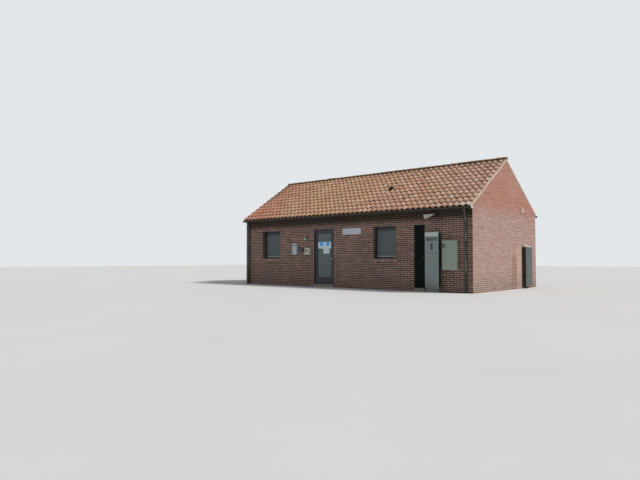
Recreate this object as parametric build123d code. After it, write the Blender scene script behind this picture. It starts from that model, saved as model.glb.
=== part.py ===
from build123d import *
import math
import os

# Lengths are in millimetres. X runs along the platform side, -Y faces the platform, Z is up from the ground.
# Places along the platform wall are shares of its length, from the right-hand corner to a piece's right edge.

# Brick body
building_length = 10340.0
building_width = 5220.0
wall_thickness = 350.0
floor_thickness = 100.0
sill_height = 1067.0
head_height = 2180.0

# Roof
roof_pitch = 33.0
tile_edge_height = 2700.0
tile_overhang = 120.0
tile_thickness = 45.0
verge_overhang = 15.0
deck_thickness = 100.0
mortar_bed = 20.0
mortar_proud = 6.0
ridge_radius = 105.0
ridge_wall = 13.0
ridge_rise = 70.0
ridge_cap_length = 344.0
ridge_collar_step = 7.0
ridge_collar_width = 45.0
ridge_sides = 12
bedding_edge = 2.0

# Eaves: corbel, fascia board, gutter and its hooks
corbel_projection = 38.0
fascia_thickness = 22.0
gutter_radius = 62.5
gutter_wall = 2.5
gutter_bead_radius = 7.0
gutter_overrun = 50.0
hook_thickness = 4.0
hook_width = 25.0
hook_leg = 24.0
hook_gap = 2.0
hook_count = 12
round_sides = 16
seat_gap = 0.3

# Downpipes
pipe_radius = 38.0
pipe_wall = 2.5
pipe_from_corner = 210.0
pipe_stand_off = 22.0
pipe_swan_drop = 280.0
pipe_neck_drop = 75.0
pipe_bend_reach = 32.0
clip_width = 30.0
clip_thickness = 3.0
clip_heights = (420.0, 1240.0, 2060.0)

# Windows: the frame stands back from the brick face, a blank panel fills it
window_reveal = 150.0
window_frame_depth = 70.0
window_frame_face = 60.0
window_frame_head = 95.0
window_panel_thickness = 16.0
window_panel_setback = 20.0
left_window_place = 0.8031
left_window_width = 1020.0
right_window_place = 0.2675
right_window_width = 950.0
sill_course_height = 110.0
sill_projection = 25.0
sill_fall = 18.0

# Glazed entrance door
entrance_place = 0.5331
entrance_width = 970.0
door_reveal = 45.0
door_jamb = 45.0
door_head = 60.0
door_stop = 15.0
door_stop_depth = 40.0
leaf_thickness = 45.0
leaf_side_gap = 10.0
leaf_top_gap = 8.0
leaf_floor_gap = 10.0
leaf_back_gap = 5.0
leaf_stile = 95.0
leaf_bottom_rail = 240.0
pane_thickness = 8.0
threshold_nose = 30.0

# Narrow service door beside the ticket machine
service_place = 0.161
service_width = 400.0
service_jamb = 22.0
service_leaf_thickness = 40.0
service_rib_width = 12.0
service_rib_count = 3
service_stile = 40.0

# Hinge of a knuckle turning on a fixed pin
pin_radius = 5.0
knuckle_radius = 9.0
knuckle_height = 35.0
hinge_plate_margin = 6.0
hinge_plate_thickness = 3.0
pin_clearance = 0.3
side_hinge_gap = 5.0
low_hinge = 220.0
middle_hinge = 960.0
high_hinge = 1680.0

# Lever handle
handle_height = 1050.0
handle_backset = 48.0
rose_radius = 24.0
rose_thickness = 8.0
handle_neck_radius = 7.0
handle_grip_radius = 8.0
handle_stand_off = 45.0
lever_length = 115.0

# Sign board over the platform
sign_place = 0.4104
sign_width = 820.0
sign_height = 214.0
sign_thickness = 20.0
sign_bottom = 1933.0

# Ticket machine
machine_place = 0.1019
machine_width = 495.0
machine_depth = 200.0
machine_top = 1916.0
machine_plinth = 120.0
machine_plinth_inset = 20.0
machine_back_depth = 60.0
machine_back_inset = 12.0
machine_head_height = 281.0
machine_seam = 8.0
machine_seam_depth = 8.0
machine_middle_height = 383.0
machine_display_width = 390.0
machine_display_height = 90.0
machine_recess_depth = 30.0
machine_slot_width = 80.0
machine_slot_height = 210.0
machine_corner_radius = 8.0

# Notice case with a hinged front
case_place = 0.045
case_width = 510.0
case_depth = 120.0
case_top = 1640.0
case_height = 930.0
case_wall = 18.0
case_door_thickness = 24.0
case_door_frame = 80.0
case_roof_overhang = 12.0
case_roof_thickness = 14.0
case_door_gap = 5.0
case_pull_radius = 15.0
case_pull_length = 150.0
case_pull_from_edge = 58.0
case_pull_from_top = 186.0

# Boxes on the wall left of the entrance: place, width, depth, bottom, height
post_box = (0.7086, 225.0, 80.0, 1208.0, 440.0)
display_box = (0.6789, 206.0, 60.0, 1320.0, 165.0)
call_box = (0.6418, 248.0, 90.0, 1205.0, 268.0)
box_corner_radius = 10.0
display_bezel = 26.0
display_recess = 12.0
call_panel_inset = 30.0
call_grille_count = 5
post_slot_height = 34.0

# Bulkhead lamp
lamp_place = 0.6574
lamp_width = 138.0
lamp_height = 152.0
lamp_depth = 100.0
lamp_bottom = 1764.0
lamp_base_depth = 30.0

# Horn loudspeaker under the eaves, tipped down towards the waiting passengers
horn_place = 0.1219
horn_length = 300.0
horn_mouth_width = 170.0
horn_mouth_height = 142.0
horn_throat = 36.0
horn_wall = 5.0
horn_tilt = 12.0
horn_driver_length = 95.0
horn_driver_size = 76.0
horn_from_wall = 160.0
horn_drop = 197.0
horn_arm_width = 40.0
horn_plate_height = 110.0
horn_plate_thickness = 6.0

# Meter cabinet and small light on the right-hand gable, places measured from the platform corner
cabinet_from_corner = 3902.0
cabinet_width = 578.0
cabinet_depth = 140.0
cabinet_front_height = 1482.0
cabinet_roof_fall = 84.0
cabinet_bottom = 60.0
cabinet_wall = 12.0
cabinet_roof_thickness = 16.0
cabinet_roof_overhang = 14.0
cabinet_door_thickness = 18.0
cabinet_door_gap = 5.0
cabinet_knob_radius = 14.0
cabinet_knob_length = 16.0
gable_light_from_corner = 3872.0
gable_light_width = 56.0
gable_light_depth = 60.0
gable_light_bottom = 2691.0
gable_light_height = 146.0

half_length = building_length / 2
half_width = building_width / 2
inner_length = half_length - wall_thickness
inner_width = half_width - wall_thickness
slope = math.tan(math.radians(roof_pitch))
upright = 1 / math.cos(math.radians(roof_pitch))
tile_edge = half_width + tile_overhang
fascia_back = half_width + corbel_projection
fascia_face = fascia_back + fascia_thickness
gutter_centre = fascia_face + hook_thickness + seat_gap + gutter_radius
hook_top = (tile_edge_height + (tile_edge - fascia_face - hook_thickness) * slope
            - tile_thickness * upright - hook_gap)
gutter_rim_height = hook_top - hook_leg
cabinet_back_height = cabinet_front_height + cabinet_roof_fall
front = -half_width


def tile_top(y, depth=0.0):
    """Height at a distance y from the ridge of the tiles' upper plane, or of a plane a depth under it."""
    return tile_edge_height + (tile_edge - abs(y)) * slope - depth * upright


def from_corner(place):
    """X of a place on the platform wall, from its share of the length to the right-hand corner."""
    return half_length - place * building_length


def block(x, y, z):
    """Box between two X, two Y and two Z values."""
    size = Box(x[1] - x[0], y[1] - y[0], z[1] - z[0])
    return Pos((x[0] + x[1]) / 2, (y[0] + y[1]) / 2, (z[0] + z[1]) / 2) * size


def soft_block(x, y, z, radius, edges=Axis.Y):
    """Box with the corners that run along one axis rounded."""
    body = block(x, y, z)
    return fillet(body.edges().filter_by(edges), radius)


def prism_x(outline, x):
    """Outline of (y, z) corners carried along X between two values."""
    face = make_face(Plane.YZ * Polyline(*outline, close=True))
    return Pos(x[0], 0, 0) * extrude(face, amount=x[1] - x[0], dir=(1, 0, 0))


def mirrored(part):
    """The same piece on the other long side of the building."""
    return mirror(part, about=Plane.XZ)


def rod(centre, direction, radius, length):
    """Cylinder that starts at a point and runs along a direction."""
    return extrude(Plane(origin=centre, z_dir=direction) * Circle(radius), amount=length)


def long_wall(x, bottom=0.0):
    """Stretch of the platform wall whose top is cut to the roof's slope."""
    outer_top = tile_top(half_width, tile_thickness + deck_thickness)
    inner_top = tile_top(inner_width, tile_thickness + deck_thickness)
    outline = [(-half_width, bottom), (-inner_width, bottom),
               (-inner_width, inner_top), (-half_width, outer_top)]
    return prism_x(outline, x)


def window_hole(x):
    """Space of a window through the wall, with the seat of its sill course."""
    through = block(x, (front - 1, front + wall_thickness + 1), (sill_height, head_height))
    seat_y = (front - 1, front + window_reveal + window_frame_depth)
    seat = block(x, seat_y, (sill_height - sill_course_height, sill_height))
    return through + seat


def sill_course(x):
    """Sloping brick sill that carries the window frame and stands a little proud of the wall."""
    frame_front = front + window_reveal
    frame_back = frame_front + window_frame_depth
    nose = front - sill_projection
    bottom = sill_height - sill_course_height
    outline = [(nose, bottom), (frame_back, bottom), (frame_back, sill_height),
               (frame_front, sill_height), (nose, sill_height - sill_fall)]
    return prism_x(outline, x)


def window_frame(x):
    """Four-sided frame that fills the window hole."""
    y = (front + window_reveal, front + window_reveal + window_frame_depth)
    outer = block(x, y, (sill_height, head_height))
    light_x = (x[0] + window_frame_face, x[1] - window_frame_face)
    light_z = (sill_height + window_frame_face, head_height - window_frame_head)
    return outer - block(light_x, (y[0] - 1, y[1] + 1), light_z)


def window_panel(x):
    """Blank panel that closes the frame's light."""
    y = front + window_reveal + window_panel_setback
    light_x = (x[0] + window_frame_face, x[1] - window_frame_face)
    light_z = (sill_height + window_frame_face, head_height - window_frame_head)
    return block(light_x, (y, y + window_panel_thickness), light_z)


def gable(side):
    """Gable wall up to its mortar bed, with the small corbels that close the eaves."""
    bed = tile_thickness + mortar_bed
    corbel_bottom = tile_top(fascia_back, tile_thickness + deck_thickness)
    half = [(half_width, 0.0), (half_width, corbel_bottom), (fascia_back, corbel_bottom),
            (fascia_back, tile_top(fascia_back, bed))]
    other = [(-y, z) for y, z in reversed(half)]
    outline = half + [(0.0, tile_top(0.0, bed))] + other
    ends = sorted((side * inner_length, side * half_length))
    return prism_x(outline, ends)


def verge_mortar(side):
    """Mortar bed between a gable and the tiles, a little proud of the brick."""
    bed = tile_thickness + mortar_bed
    top = [(fascia_back, tile_top(fascia_back, tile_thickness)), (0.0, tile_top(0.0, tile_thickness)),
           (-fascia_back, tile_top(fascia_back, tile_thickness))]
    low = [(-fascia_back, tile_top(fascia_back, bed)), (0.0, tile_top(0.0, bed)),
           (fascia_back, tile_top(fascia_back, bed))]
    ends = sorted((side * inner_length, side * (half_length + mortar_proud)))
    return prism_x(top + low, ends)


def roof_deck():
    """Boarded deck of one slope, between the gables, from the fascia to the ridge."""
    low = tile_thickness + deck_thickness
    outline = [(-fascia_back, tile_top(fascia_back, tile_thickness)), (0.0, tile_top(0.0, tile_thickness)),
               (0.0, tile_top(0.0, low)), (-fascia_back, tile_top(fascia_back, low))]
    return prism_x(outline, (-inner_length, inner_length))


def tile_slope():
    """Covering of one slope, to the crests of its tiles."""
    outline = [(-tile_edge, tile_top(tile_edge)), (0.0, tile_top(0.0)),
               (0.0, tile_top(0.0, tile_thickness)), (-tile_edge, tile_top(tile_edge, tile_thickness))]
    reach = half_length + verge_overhang
    return prism_x(outline, (-reach, reach))


def half_ring(radius):
    """Upper half of a many-sided ring, in the (y, z) plane, as thick as a ridge tile."""
    step = math.pi / ridge_sides
    inner = radius - ridge_wall
    outer_arc = [(radius * math.cos(i * step), radius * math.sin(i * step)) for i in range(ridge_sides + 1)]
    inner_arc = [(inner * math.cos(i * step), inner * math.sin(i * step)) for i in range(ridge_sides + 1)]
    return outer_arc + inner_arc[::-1]


def ridge_caps():
    """Row of half-round ridge tiles, each with a collar that laps over the one before it."""
    reach = half_length + verge_overhang
    count = round(2 * reach / ridge_cap_length)
    pitch = 2 * reach / count
    row = prism_x(half_ring(ridge_radius - ridge_collar_step), (-reach, reach))
    collar = half_ring(ridge_radius)
    for index in range(count):
        start = -reach + index * pitch
        row += prism_x(collar, (start, start + ridge_collar_width))
    return Pos(0, 0, tile_top(0.0) + ridge_rise - ridge_radius) * row


def ridge_bedding():
    """Mortar that fills the wedge between a ridge tile's edge and the crests of the slope."""
    level = tile_top(0.0) + ridge_rise - ridge_radius
    start = tile_edge - (level - tile_edge_height) / slope
    edge = ridge_radius - ridge_collar_step - bedding_edge
    outline = [(-start, level), (-edge, level), (-edge, tile_top(edge))]
    return prism_x(outline, (-half_length, half_length))


def fascia():
    """Board that closes the eaves and carries the gutter hooks."""
    bottom = tile_top(fascia_back, tile_thickness + deck_thickness)
    outline = [(-fascia_back, bottom), (-fascia_face, bottom),
               (-fascia_face, tile_top(fascia_face, tile_thickness)),
               (-fascia_back, tile_top(fascia_back, tile_thickness))]
    return prism_x(outline, (-half_length, half_length))


def ring_sides(inner, outer):
    """Section of a bent strap or a pipe, as a many-sided ring whose sides lie outside the two radii."""
    turn = 180.0 / round_sides
    outline = RegularPolygon(outer, round_sides, major_radius=False, rotation=turn)
    return outline - RegularPolygon(inner, round_sides, major_radius=False, rotation=turn)


def lower_half(face_radius):
    """Rectangle in a section that keeps what lies under the gutter's rim."""
    return Pos(0, -face_radius) * Rectangle(4 * face_radius, 2 * face_radius)


def pipe_places():
    """X of the two downpipes on a long side."""
    return (-half_length + pipe_from_corner, half_length - pipe_from_corner)


def eaves_section(x):
    """Plane of the gutter's cross-section, with its zero at the middle of the rim."""
    return Plane(origin=(x, -gutter_centre, gutter_rim_height), x_dir=(0, 1, 0), z_dir=(1, 0, 0))


def gutter():
    """Half-round trough with a rolled front edge, stop ends and a hole over each downpipe."""
    ring = Circle(gutter_radius) - Circle(gutter_radius - gutter_wall)
    trough = ring & lower_half(gutter_radius)
    bead = Pos(-gutter_radius - gutter_bead_radius + gutter_wall, 0) * Circle(gutter_bead_radius)
    stop = Circle(gutter_radius) & lower_half(gutter_radius)
    reach = half_length + gutter_overrun
    section = eaves_section(-reach)
    far = eaves_section(reach - gutter_wall)
    body = extrude(section * (trough + bead), amount=2 * reach, dir=(1, 0, 0))
    body += extrude(section * stop, amount=gutter_wall, dir=(1, 0, 0))
    body += extrude(far * stop, amount=gutter_wall, dir=(1, 0, 0))
    for x in pipe_places():
        hole = rod((x, -gutter_centre, gutter_rim_height - 2 * gutter_radius), (0, 0, 1),
                   pipe_radius - pipe_wall, 2 * gutter_radius)
        body -= hole
    return body


def gutter_hooks():
    """Strap hooks spaced along the eaves: each hugs the trough and its leg lies on the fascia."""
    inner = gutter_radius + seat_gap
    outer = inner + hook_thickness
    bead_room = 2 * (gutter_bead_radius + seat_gap)
    strap = ring_sides(inner, outer) & lower_half(outer)
    strap -= Pos(-outer, 0) * Rectangle(outer, bead_room)
    leg = Pos(inner + hook_thickness / 2, hook_leg / 2) * Rectangle(hook_thickness, hook_leg)
    hooks = []
    first = -half_length + 2 * pipe_from_corner
    pitch = -2 * first / (hook_count - 1)
    for index in range(hook_count):
        section = eaves_section(first + index * pitch - hook_width / 2)
        hooks.append(extrude(section * (strap + leg), amount=hook_width, dir=(1, 0, 0)))
    return hooks


def downpipe(x):
    """Pipe with a mitred swan neck from the gutter's hole back to the wall, and down to the ground."""
    wall_y = front - pipe_stand_off - pipe_radius
    top = gutter_rim_height - math.sqrt(gutter_radius ** 2 - pipe_radius ** 2)
    bends = [Vector(x, -gutter_centre, top - pipe_neck_drop),
             Vector(x, wall_y, gutter_rim_height - pipe_swan_drop)]
    ends = [Vector(x, -gutter_centre, top), Vector(x, wall_y, 0.0)]
    swan = (bends[1] - bends[0]).normalized() * pipe_bend_reach
    down = Vector(0, 0, -pipe_bend_reach)
    path = Polyline(ends[0], bends[0] - down, bends[0] + swan, bends[1] - swan, bends[1] + down, ends[1])
    start = Plane(origin=ends[0], x_dir=(1, 0, 0), z_dir=(0, 0, -1))
    section = start * ring_sides(pipe_radius - pipe_wall, pipe_radius)
    trough = extrude(eaves_section(x - gutter_radius) * Circle(gutter_radius), amount=2 * gutter_radius)
    return sweep(section, path=path, transition=Transition.RIGHT) - trough


def pipe_clips(x):
    """Clips that hold the pipe off the wall."""
    wall_y = front - pipe_stand_off - pipe_radius
    clips = []
    for z in clip_heights:
        plane = Plane(origin=(x, wall_y, z), z_dir=(0, 0, 1))
        ring = ring_sides(pipe_radius + seat_gap, pipe_radius + seat_gap + clip_thickness)
        reach = pipe_stand_off - seat_gap
        tail = Pos(0, pipe_radius + seat_gap + reach / 2) * Rectangle(2 * clip_thickness, reach)
        band = extrude(plane * (ring + tail), amount=clip_width)
        clips.append(band)
    return clips


def door_opening(place, width):
    """X range of an opening in the platform wall."""
    right = from_corner(place)
    return (right - width, right)


def door_frame(x, jamb, head, thickness):
    """Jambs and head with a stop behind the leaf."""
    face = front + door_reveal
    back = face + thickness + leaf_back_gap + door_stop_depth
    outer = block(x, (face, back), (floor_thickness, head_height))
    pocket = block((x[0] + jamb, x[1] - jamb), (face - 1, face + thickness + leaf_back_gap),
                   (floor_thickness - 1, head_height - head))
    clear = block((x[0] + jamb + door_stop, x[1] - jamb - door_stop), (face - 1, back + 1),
                  (floor_thickness - 1, head_height - head - door_stop))
    return outer - pocket - clear


def leaf_outline(x, jamb, head):
    """X and Z ranges of the leaf in its frame."""
    leaf_x = (x[0] + jamb + leaf_side_gap, x[1] - jamb - leaf_side_gap)
    leaf_z = (floor_thickness + leaf_floor_gap, head_height - head - leaf_top_gap)
    return leaf_x, leaf_z


def hinge_axis_y(face):
    """Y of a pin that stands just clear of a face."""
    return face - knuckle_radius - pin_clearance


def plate_reach(jamb):
    """Reach of a hinge plate from its pin, to a margin inside the jamb's outer edge."""
    return jamb + leaf_side_gap / 2 - hinge_plate_margin


def hinge_pins(x, face, heights, reach):
    """Fixed half of a left-hand door's hinges: lower knuckle, pin and the plate on the jamb."""
    y = hinge_axis_y(face)
    pins = []
    for z in heights:
        knuckle = rod((x, y, z), (0, 0, 1), knuckle_radius, knuckle_height)
        pin = rod((x, y, z), (0, 0, 1), pin_radius, 2 * knuckle_height)
        plate = block((x - reach, x), (face - hinge_plate_thickness, face), (z, z + knuckle_height))
        pins.append(knuckle + pin + plate)
    return pins


def hinge_knuckles(x, face, heights, reach):
    """Moving half of the hinges: the upper knuckle round the pin and the plate on the leaf."""
    y = hinge_axis_y(face)
    knuckles = []
    for z in heights:
        low = z + knuckle_height + pin_clearance
        high = z + 2 * knuckle_height
        tube = rod((x, y, low), (0, 0, 1), knuckle_radius, high - low)
        plate = block((x, x + reach), (face - hinge_plate_thickness, face), (low, high))
        bore = rod((x, y, low - 1), (0, 0, 1), pin_radius + pin_clearance, high - low + 2)
        knuckles.append(tube + plate - bore)
    return knuckles


def lever(x, face, side, direction):
    """Rose, neck and lever on one face of a leaf. side is -1 outside and +1 inside."""
    outward = (0, side, 0)
    rose = rod((x, face, handle_height), outward, rose_radius, rose_thickness)
    neck = rod((x, face, handle_height), outward, handle_neck_radius, handle_stand_off)
    start = x - direction * 2 * handle_neck_radius
    grip = rod((start, face + side * handle_stand_off, handle_height), (direction, 0, 0),
               handle_grip_radius, lever_length)
    return rose + neck + grip


def entrance_leaf(x, z):
    """Leaf with wide stiles and rails round one tall light."""
    face = front + door_reveal
    body = block(x, (face, face + leaf_thickness), z)
    light_x, light_z = entrance_light(x, z)
    return body - block(light_x, (face - 1, face + leaf_thickness + 1), light_z)


def entrance_light(x, z):
    """X and Z ranges of the light in the entrance leaf."""
    return (x[0] + leaf_stile, x[1] - leaf_stile), (z[0] + leaf_bottom_rail, z[1] - leaf_stile)


def service_leaf(x, z):
    """Plain leaf stiffened by upright ribs on its face."""
    face = front + door_reveal
    body = block(x, (face + service_rib_width / 2, face + service_leaf_thickness), z)
    edge = service_stile + service_rib_width
    pitch = (x[1] - x[0] - edge - service_rib_width) / (service_rib_count - 1)
    for index in range(service_rib_count):
        left = x[0] + edge + index * pitch - service_rib_width
        body += block((left, left + service_rib_width), (face, face + service_leaf_thickness), z)
    return body + block((x[0], x[0] + service_stile), (face, face + service_leaf_thickness), z)


def threshold(x):
    """Stone step across the doorway, flush with the floor."""
    return block(x, (front - threshold_nose, front + wall_thickness), (0.0, floor_thickness))


def ticket_machine():
    """Housing on a plinth: head with a display recess, a middle panel with a slot and a lower panel."""
    right = from_corner(machine_place)
    x = (right - machine_width, right)
    face = front - machine_depth
    back = front - machine_back_depth
    body = soft_block(x, (face, back), (machine_plinth, machine_top), machine_corner_radius, Axis.Z)
    back_x = (x[0] + machine_back_inset, x[1] - machine_back_inset)
    body += block(back_x, (back, front), (machine_plinth, machine_top - machine_back_inset))
    plinth_x = (x[0] + machine_plinth_inset, x[1] - machine_plinth_inset)
    body += block(plinth_x, (face + machine_plinth_inset, front), (0.0, machine_plinth))
    upper_seam = machine_top - machine_head_height
    lower_seam = upper_seam - machine_middle_height
    for seam in (upper_seam, lower_seam):
        groove_y = (face - 1, face + machine_seam_depth)
        body -= block((x[0] - 1, x[1] + 1), groove_y, (seam - machine_seam, seam))
    centre = (x[0] + x[1]) / 2
    display_x = (centre - machine_display_width / 2, centre + machine_display_width / 2)
    display_z = (upper_seam + machine_seam, upper_seam + machine_seam + machine_display_height)
    body -= block(display_x, (face - 1, face + machine_recess_depth), display_z)
    slot_x = (centre - machine_slot_width / 2, centre + machine_slot_width / 2)
    slot_middle = (upper_seam + lower_seam) / 2
    slot_z = (slot_middle - machine_slot_height / 2, slot_middle + machine_slot_height / 2)
    return body - block(slot_x, (face - 1, face + machine_recess_depth), slot_z)


def case_sizes():
    """X and Z ranges and the face of the notice case's body."""
    right = from_corner(case_place)
    x = (right - case_width, right)
    z = (case_top - case_height, case_top)
    face = front - case_depth
    return x, z, face


def notice_case():
    """Open-fronted shallow box with a small roof and the pins for its door."""
    x, z, face = case_sizes()
    body_front = face + case_door_thickness + case_door_gap
    body = block(x, (body_front, front), (z[0], z[1] - case_roof_thickness))
    inside = block((x[0] + case_wall, x[1] - case_wall), (body_front - 1, front - case_wall),
                   (z[0] + case_wall, z[1] - case_roof_thickness - case_wall))
    roof_x = (x[0] - case_roof_overhang, x[1] + case_roof_overhang)
    roof = block(roof_x, (face - case_roof_overhang, front), (z[1] - case_roof_thickness, z[1]))
    body = body - inside + roof
    pin_y = face + case_door_thickness / 2
    for lug in side_pins(case_hinge_x(), pin_y, case_hinge_heights(), x[1], body_front, front):
        body += lug
    return body


def case_door_ranges():
    """X and Z ranges of the case's door."""
    x, z, face = case_sizes()
    return x, (z[0], z[1] - case_roof_thickness - case_door_gap), face


def case_hinge_x():
    """X of the case door's pin, on the case's right-hand side."""
    x, z, face = case_sizes()
    return x[1] + knuckle_radius + side_hinge_gap


def case_hinge_heights():
    """Heights of the case door's two hinges."""
    x, z, face = case_door_ranges()
    third = (z[1] - z[0]) / 4
    return (z[0] + third, z[1] - third)


def side_pins(x, y, heights, edge, body_front, back):
    """Pins beside a box, each on a lug that reaches back and is fixed to the box's side."""
    lugs = []
    for z in heights:
        knuckle = rod((x, y, z), (0, 0, 1), knuckle_radius, knuckle_height)
        pin = rod((x, y, z), (0, 0, 1), pin_radius, 2 * knuckle_height)
        arm = block((edge + side_hinge_gap, x), (y, back), (z, z + knuckle_height))
        foot = block((edge, x), (body_front, back), (z, z + knuckle_height))
        lugs.append(knuckle + pin + arm + foot)
    return lugs


def side_knuckles(x, y, heights, edge, leaf_y):
    """Knuckles that turn on those pins, each on a strap to the door's edge."""
    parts = []
    for z in heights:
        low = z + knuckle_height + pin_clearance
        high = z + 2 * knuckle_height
        tube = rod((x, y, low), (0, 0, 1), knuckle_radius, high - low)
        strap = block((edge, x), leaf_y, (low, high))
        bore = rod((x, y, low - 1), (0, 0, 1), pin_radius + pin_clearance, high - low + 2)
        parts.append(tube + strap - bore)
    return parts


def case_light(x, z):
    """X and Z ranges of the light in the case's door."""
    return (x[0] + case_door_frame, x[1] - case_door_frame), (z[0] + case_door_frame, z[1] - case_door_frame)


def case_door():
    """Frame of the case's door with its knuckles."""
    x, z, face = case_door_ranges()
    leaf_y = (face, face + case_door_thickness)
    body = block(x, leaf_y, z)
    light_x, light_z = case_light(x, z)
    body -= block(light_x, (face - 1, face + case_door_thickness + 1), light_z)
    strap_y = (face + pin_radius, face + case_door_thickness - pin_radius)
    pin_y = face + case_door_thickness / 2
    for knuckle in side_knuckles(case_hinge_x(), pin_y, case_hinge_heights(), x[1], strap_y):
        body += knuckle
    return body


def case_pane():
    """Pane of the case's door."""
    x, z, face = case_door_ranges()
    middle = face + case_door_thickness / 2
    light_x, light_z = case_light(x, z)
    return block(light_x, (middle - pane_thickness / 2, middle + pane_thickness / 2), light_z)


def case_pull():
    """Upright pull near the door's free edge."""
    x, z, face = case_door_ranges()
    pull_x = x[0] + case_pull_from_edge
    middle = case_top - case_pull_from_top
    grip_y = face - 3 * case_pull_radius
    low = middle - case_pull_length / 2
    grip = rod((pull_x, grip_y, low), (0, 0, 1), case_pull_radius, case_pull_length)
    for z_foot in (low + 2 * case_pull_radius, low + case_pull_length - 2 * case_pull_radius):
        grip += rod((pull_x, grip_y, z_foot), (0, 1, 0), case_pull_radius, face - grip_y)
    return grip


def wall_box(values):
    """Rounded box on the platform wall, with its X, Y and Z ranges."""
    place, width, depth, bottom, height = values
    right = from_corner(place)
    x = (right - width, right)
    y = (front - depth, front)
    z = (bottom, bottom + height)
    return soft_block(x, y, z, box_corner_radius), x, y, z


def post_box_body():
    """Tall box with a slot under its lid."""
    body, x, y, z = wall_box(post_box)
    slot_z = (z[1] - 3 * post_slot_height, z[1] - 2 * post_slot_height)
    inset = 2 * box_corner_radius
    return body - block((x[0] + inset, x[1] - inset), (y[0] - 1, y[0] + display_recess), slot_z)


def display_box_body():
    """Box with a sunk display."""
    body, x, y, z = wall_box(display_box)
    inner_x = (x[0] + display_bezel, x[1] - display_bezel)
    inner_z = (z[0] + display_bezel, z[1] - display_bezel)
    return body - block(inner_x, (y[0] - 1, y[0] + display_recess), inner_z)


def call_box_body():
    """Call point with a sunk panel and a slotted speaker grille."""
    body, x, y, z = wall_box(call_box)
    inner_x = (x[0] + call_panel_inset, x[1] - call_panel_inset)
    panel_z = (z[0] + call_panel_inset, (z[0] + z[1]) / 2)
    body -= block(inner_x, (y[0] - 1, y[0] + display_recess / 2), panel_z)
    pitch = (z[1] - call_panel_inset - panel_z[1]) / (call_grille_count + 1)
    for index in range(call_grille_count):
        low = panel_z[1] + (index + 0.75) * pitch
        body -= block(inner_x, (y[0] - 1, y[0] + display_recess), (low, low + pitch / 2))
    return body


def lamp_base():
    """Base of the bulkhead lamp on the wall."""
    right = from_corner(lamp_place)
    x = (right - lamp_width, right)
    z = (lamp_bottom, lamp_bottom + lamp_height)
    return soft_block(x, (front - lamp_base_depth, front), z, box_corner_radius)


def lamp_cover():
    """Tapering cover of the lamp."""
    right = from_corner(lamp_place)
    inset = box_corner_radius
    base = Plane(origin=(right - lamp_width / 2, front - lamp_base_depth, lamp_bottom + lamp_height / 2),
                 x_dir=(1, 0, 0), z_dir=(0, -1, 0))
    wide = Rectangle(lamp_width - inset, lamp_height - inset)
    top = base.offset(lamp_depth - lamp_base_depth)
    narrow = Rectangle(lamp_width - 4 * inset, lamp_height - 4 * inset)
    return loft(Sketch() + [base * wide, top * narrow])


def horn_frame(part):
    """Sets a piece drawn level, with its zero at the horn's throat, in its place under the eaves."""
    axis_height = gutter_rim_height - horn_drop
    return Pos(from_corner(horn_place), front - horn_from_wall, axis_height) * Rot(0, -horn_tilt, 0) * part


def flare(mouth_width, mouth_height, throat, length):
    """Four-sided funnel that runs from the throat at zero to its mouth on the left."""
    base = Plane(origin=(0, 0, 0), x_dir=(0, 1, 0), z_dir=(-1, 0, 0))
    mouth = base.offset(length)
    return loft(Sketch() + [base * Rectangle(throat, throat), mouth * Rectangle(mouth_width, mouth_height)])


def horn():
    """Four-sided horn, open at its mouth, with the driver housing behind its throat."""
    shell = flare(horn_mouth_width, horn_mouth_height, horn_throat, horn_length)
    bore = flare(horn_mouth_width - 2 * horn_wall, horn_mouth_height - 2 * horn_wall,
                 horn_throat - 2 * horn_wall, horn_length)
    half = horn_driver_size / 2
    driver = block((0.0, horn_driver_length), (-half, half), (-half, half))
    return horn_frame(shell - bore + driver)


def horn_bracket():
    """Wall plate with an arm that ends on the side of the driver housing."""
    arm_x = ((horn_driver_length - horn_arm_width) / 2, (horn_driver_length + horn_arm_width) / 2)
    half_arm = horn_arm_width / 2
    half_plate = horn_plate_height / 2
    arm = block(arm_x, (horn_driver_size / 2, horn_from_wall), (-half_arm, half_arm))
    plate = block(arm_x, (horn_from_wall - horn_plate_thickness, horn_from_wall), (-half_plate, half_plate))
    return horn_frame(arm + plate)


def cabinet_frame(part):
    """Turns a piece drawn for a wall that faces -Y, with its zero at the platform corner, onto the gable."""
    return Pos(half_length, front, 0) * Rot(0, 0, 90) * part


def cabinet_ranges():
    """Ranges of the meter cabinet, drawn with X along the gable and -Y off it."""
    x = (cabinet_from_corner, cabinet_from_corner + cabinet_width)
    return x, -cabinet_depth


def cabinet_body():
    """Open-fronted box under a sloping roof, with pins for the door on its far side."""
    x, face = cabinet_ranges()
    body_front = face + cabinet_door_thickness + cabinet_door_gap
    top = cabinet_front_height - cabinet_roof_thickness
    body = block(x, (body_front, 0.0), (cabinet_bottom, top))
    inside = block((x[0] + cabinet_wall, x[1] - cabinet_wall), (body_front - 1, -cabinet_wall),
                   (cabinet_bottom + cabinet_wall, top - cabinet_wall))
    body -= inside
    pin_y = face + cabinet_door_thickness / 2
    for lug in side_pins(cabinet_hinge_x(), pin_y, cabinet_hinge_heights(), x[1], body_front, 0.0):
        body += lug
    return cabinet_frame(body)


def cabinet_roof():
    """Sloping roof plate over the cabinet, tapering from the gable to its front edge."""
    x, face = cabinet_ranges()
    bottom = cabinet_front_height - cabinet_roof_thickness
    reach = (x[0] - cabinet_roof_overhang, x[1] + cabinet_roof_overhang)
    outline = [(0.0, bottom), (face - cabinet_roof_overhang, bottom),
               (face - cabinet_roof_overhang, cabinet_front_height), (0.0, cabinet_back_height)]
    return cabinet_frame(prism_x(outline, reach))


def cabinet_hinge_x():
    """Distance of the cabinet door's pin along the gable."""
    x, face = cabinet_ranges()
    return x[1] + knuckle_radius + side_hinge_gap


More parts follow.
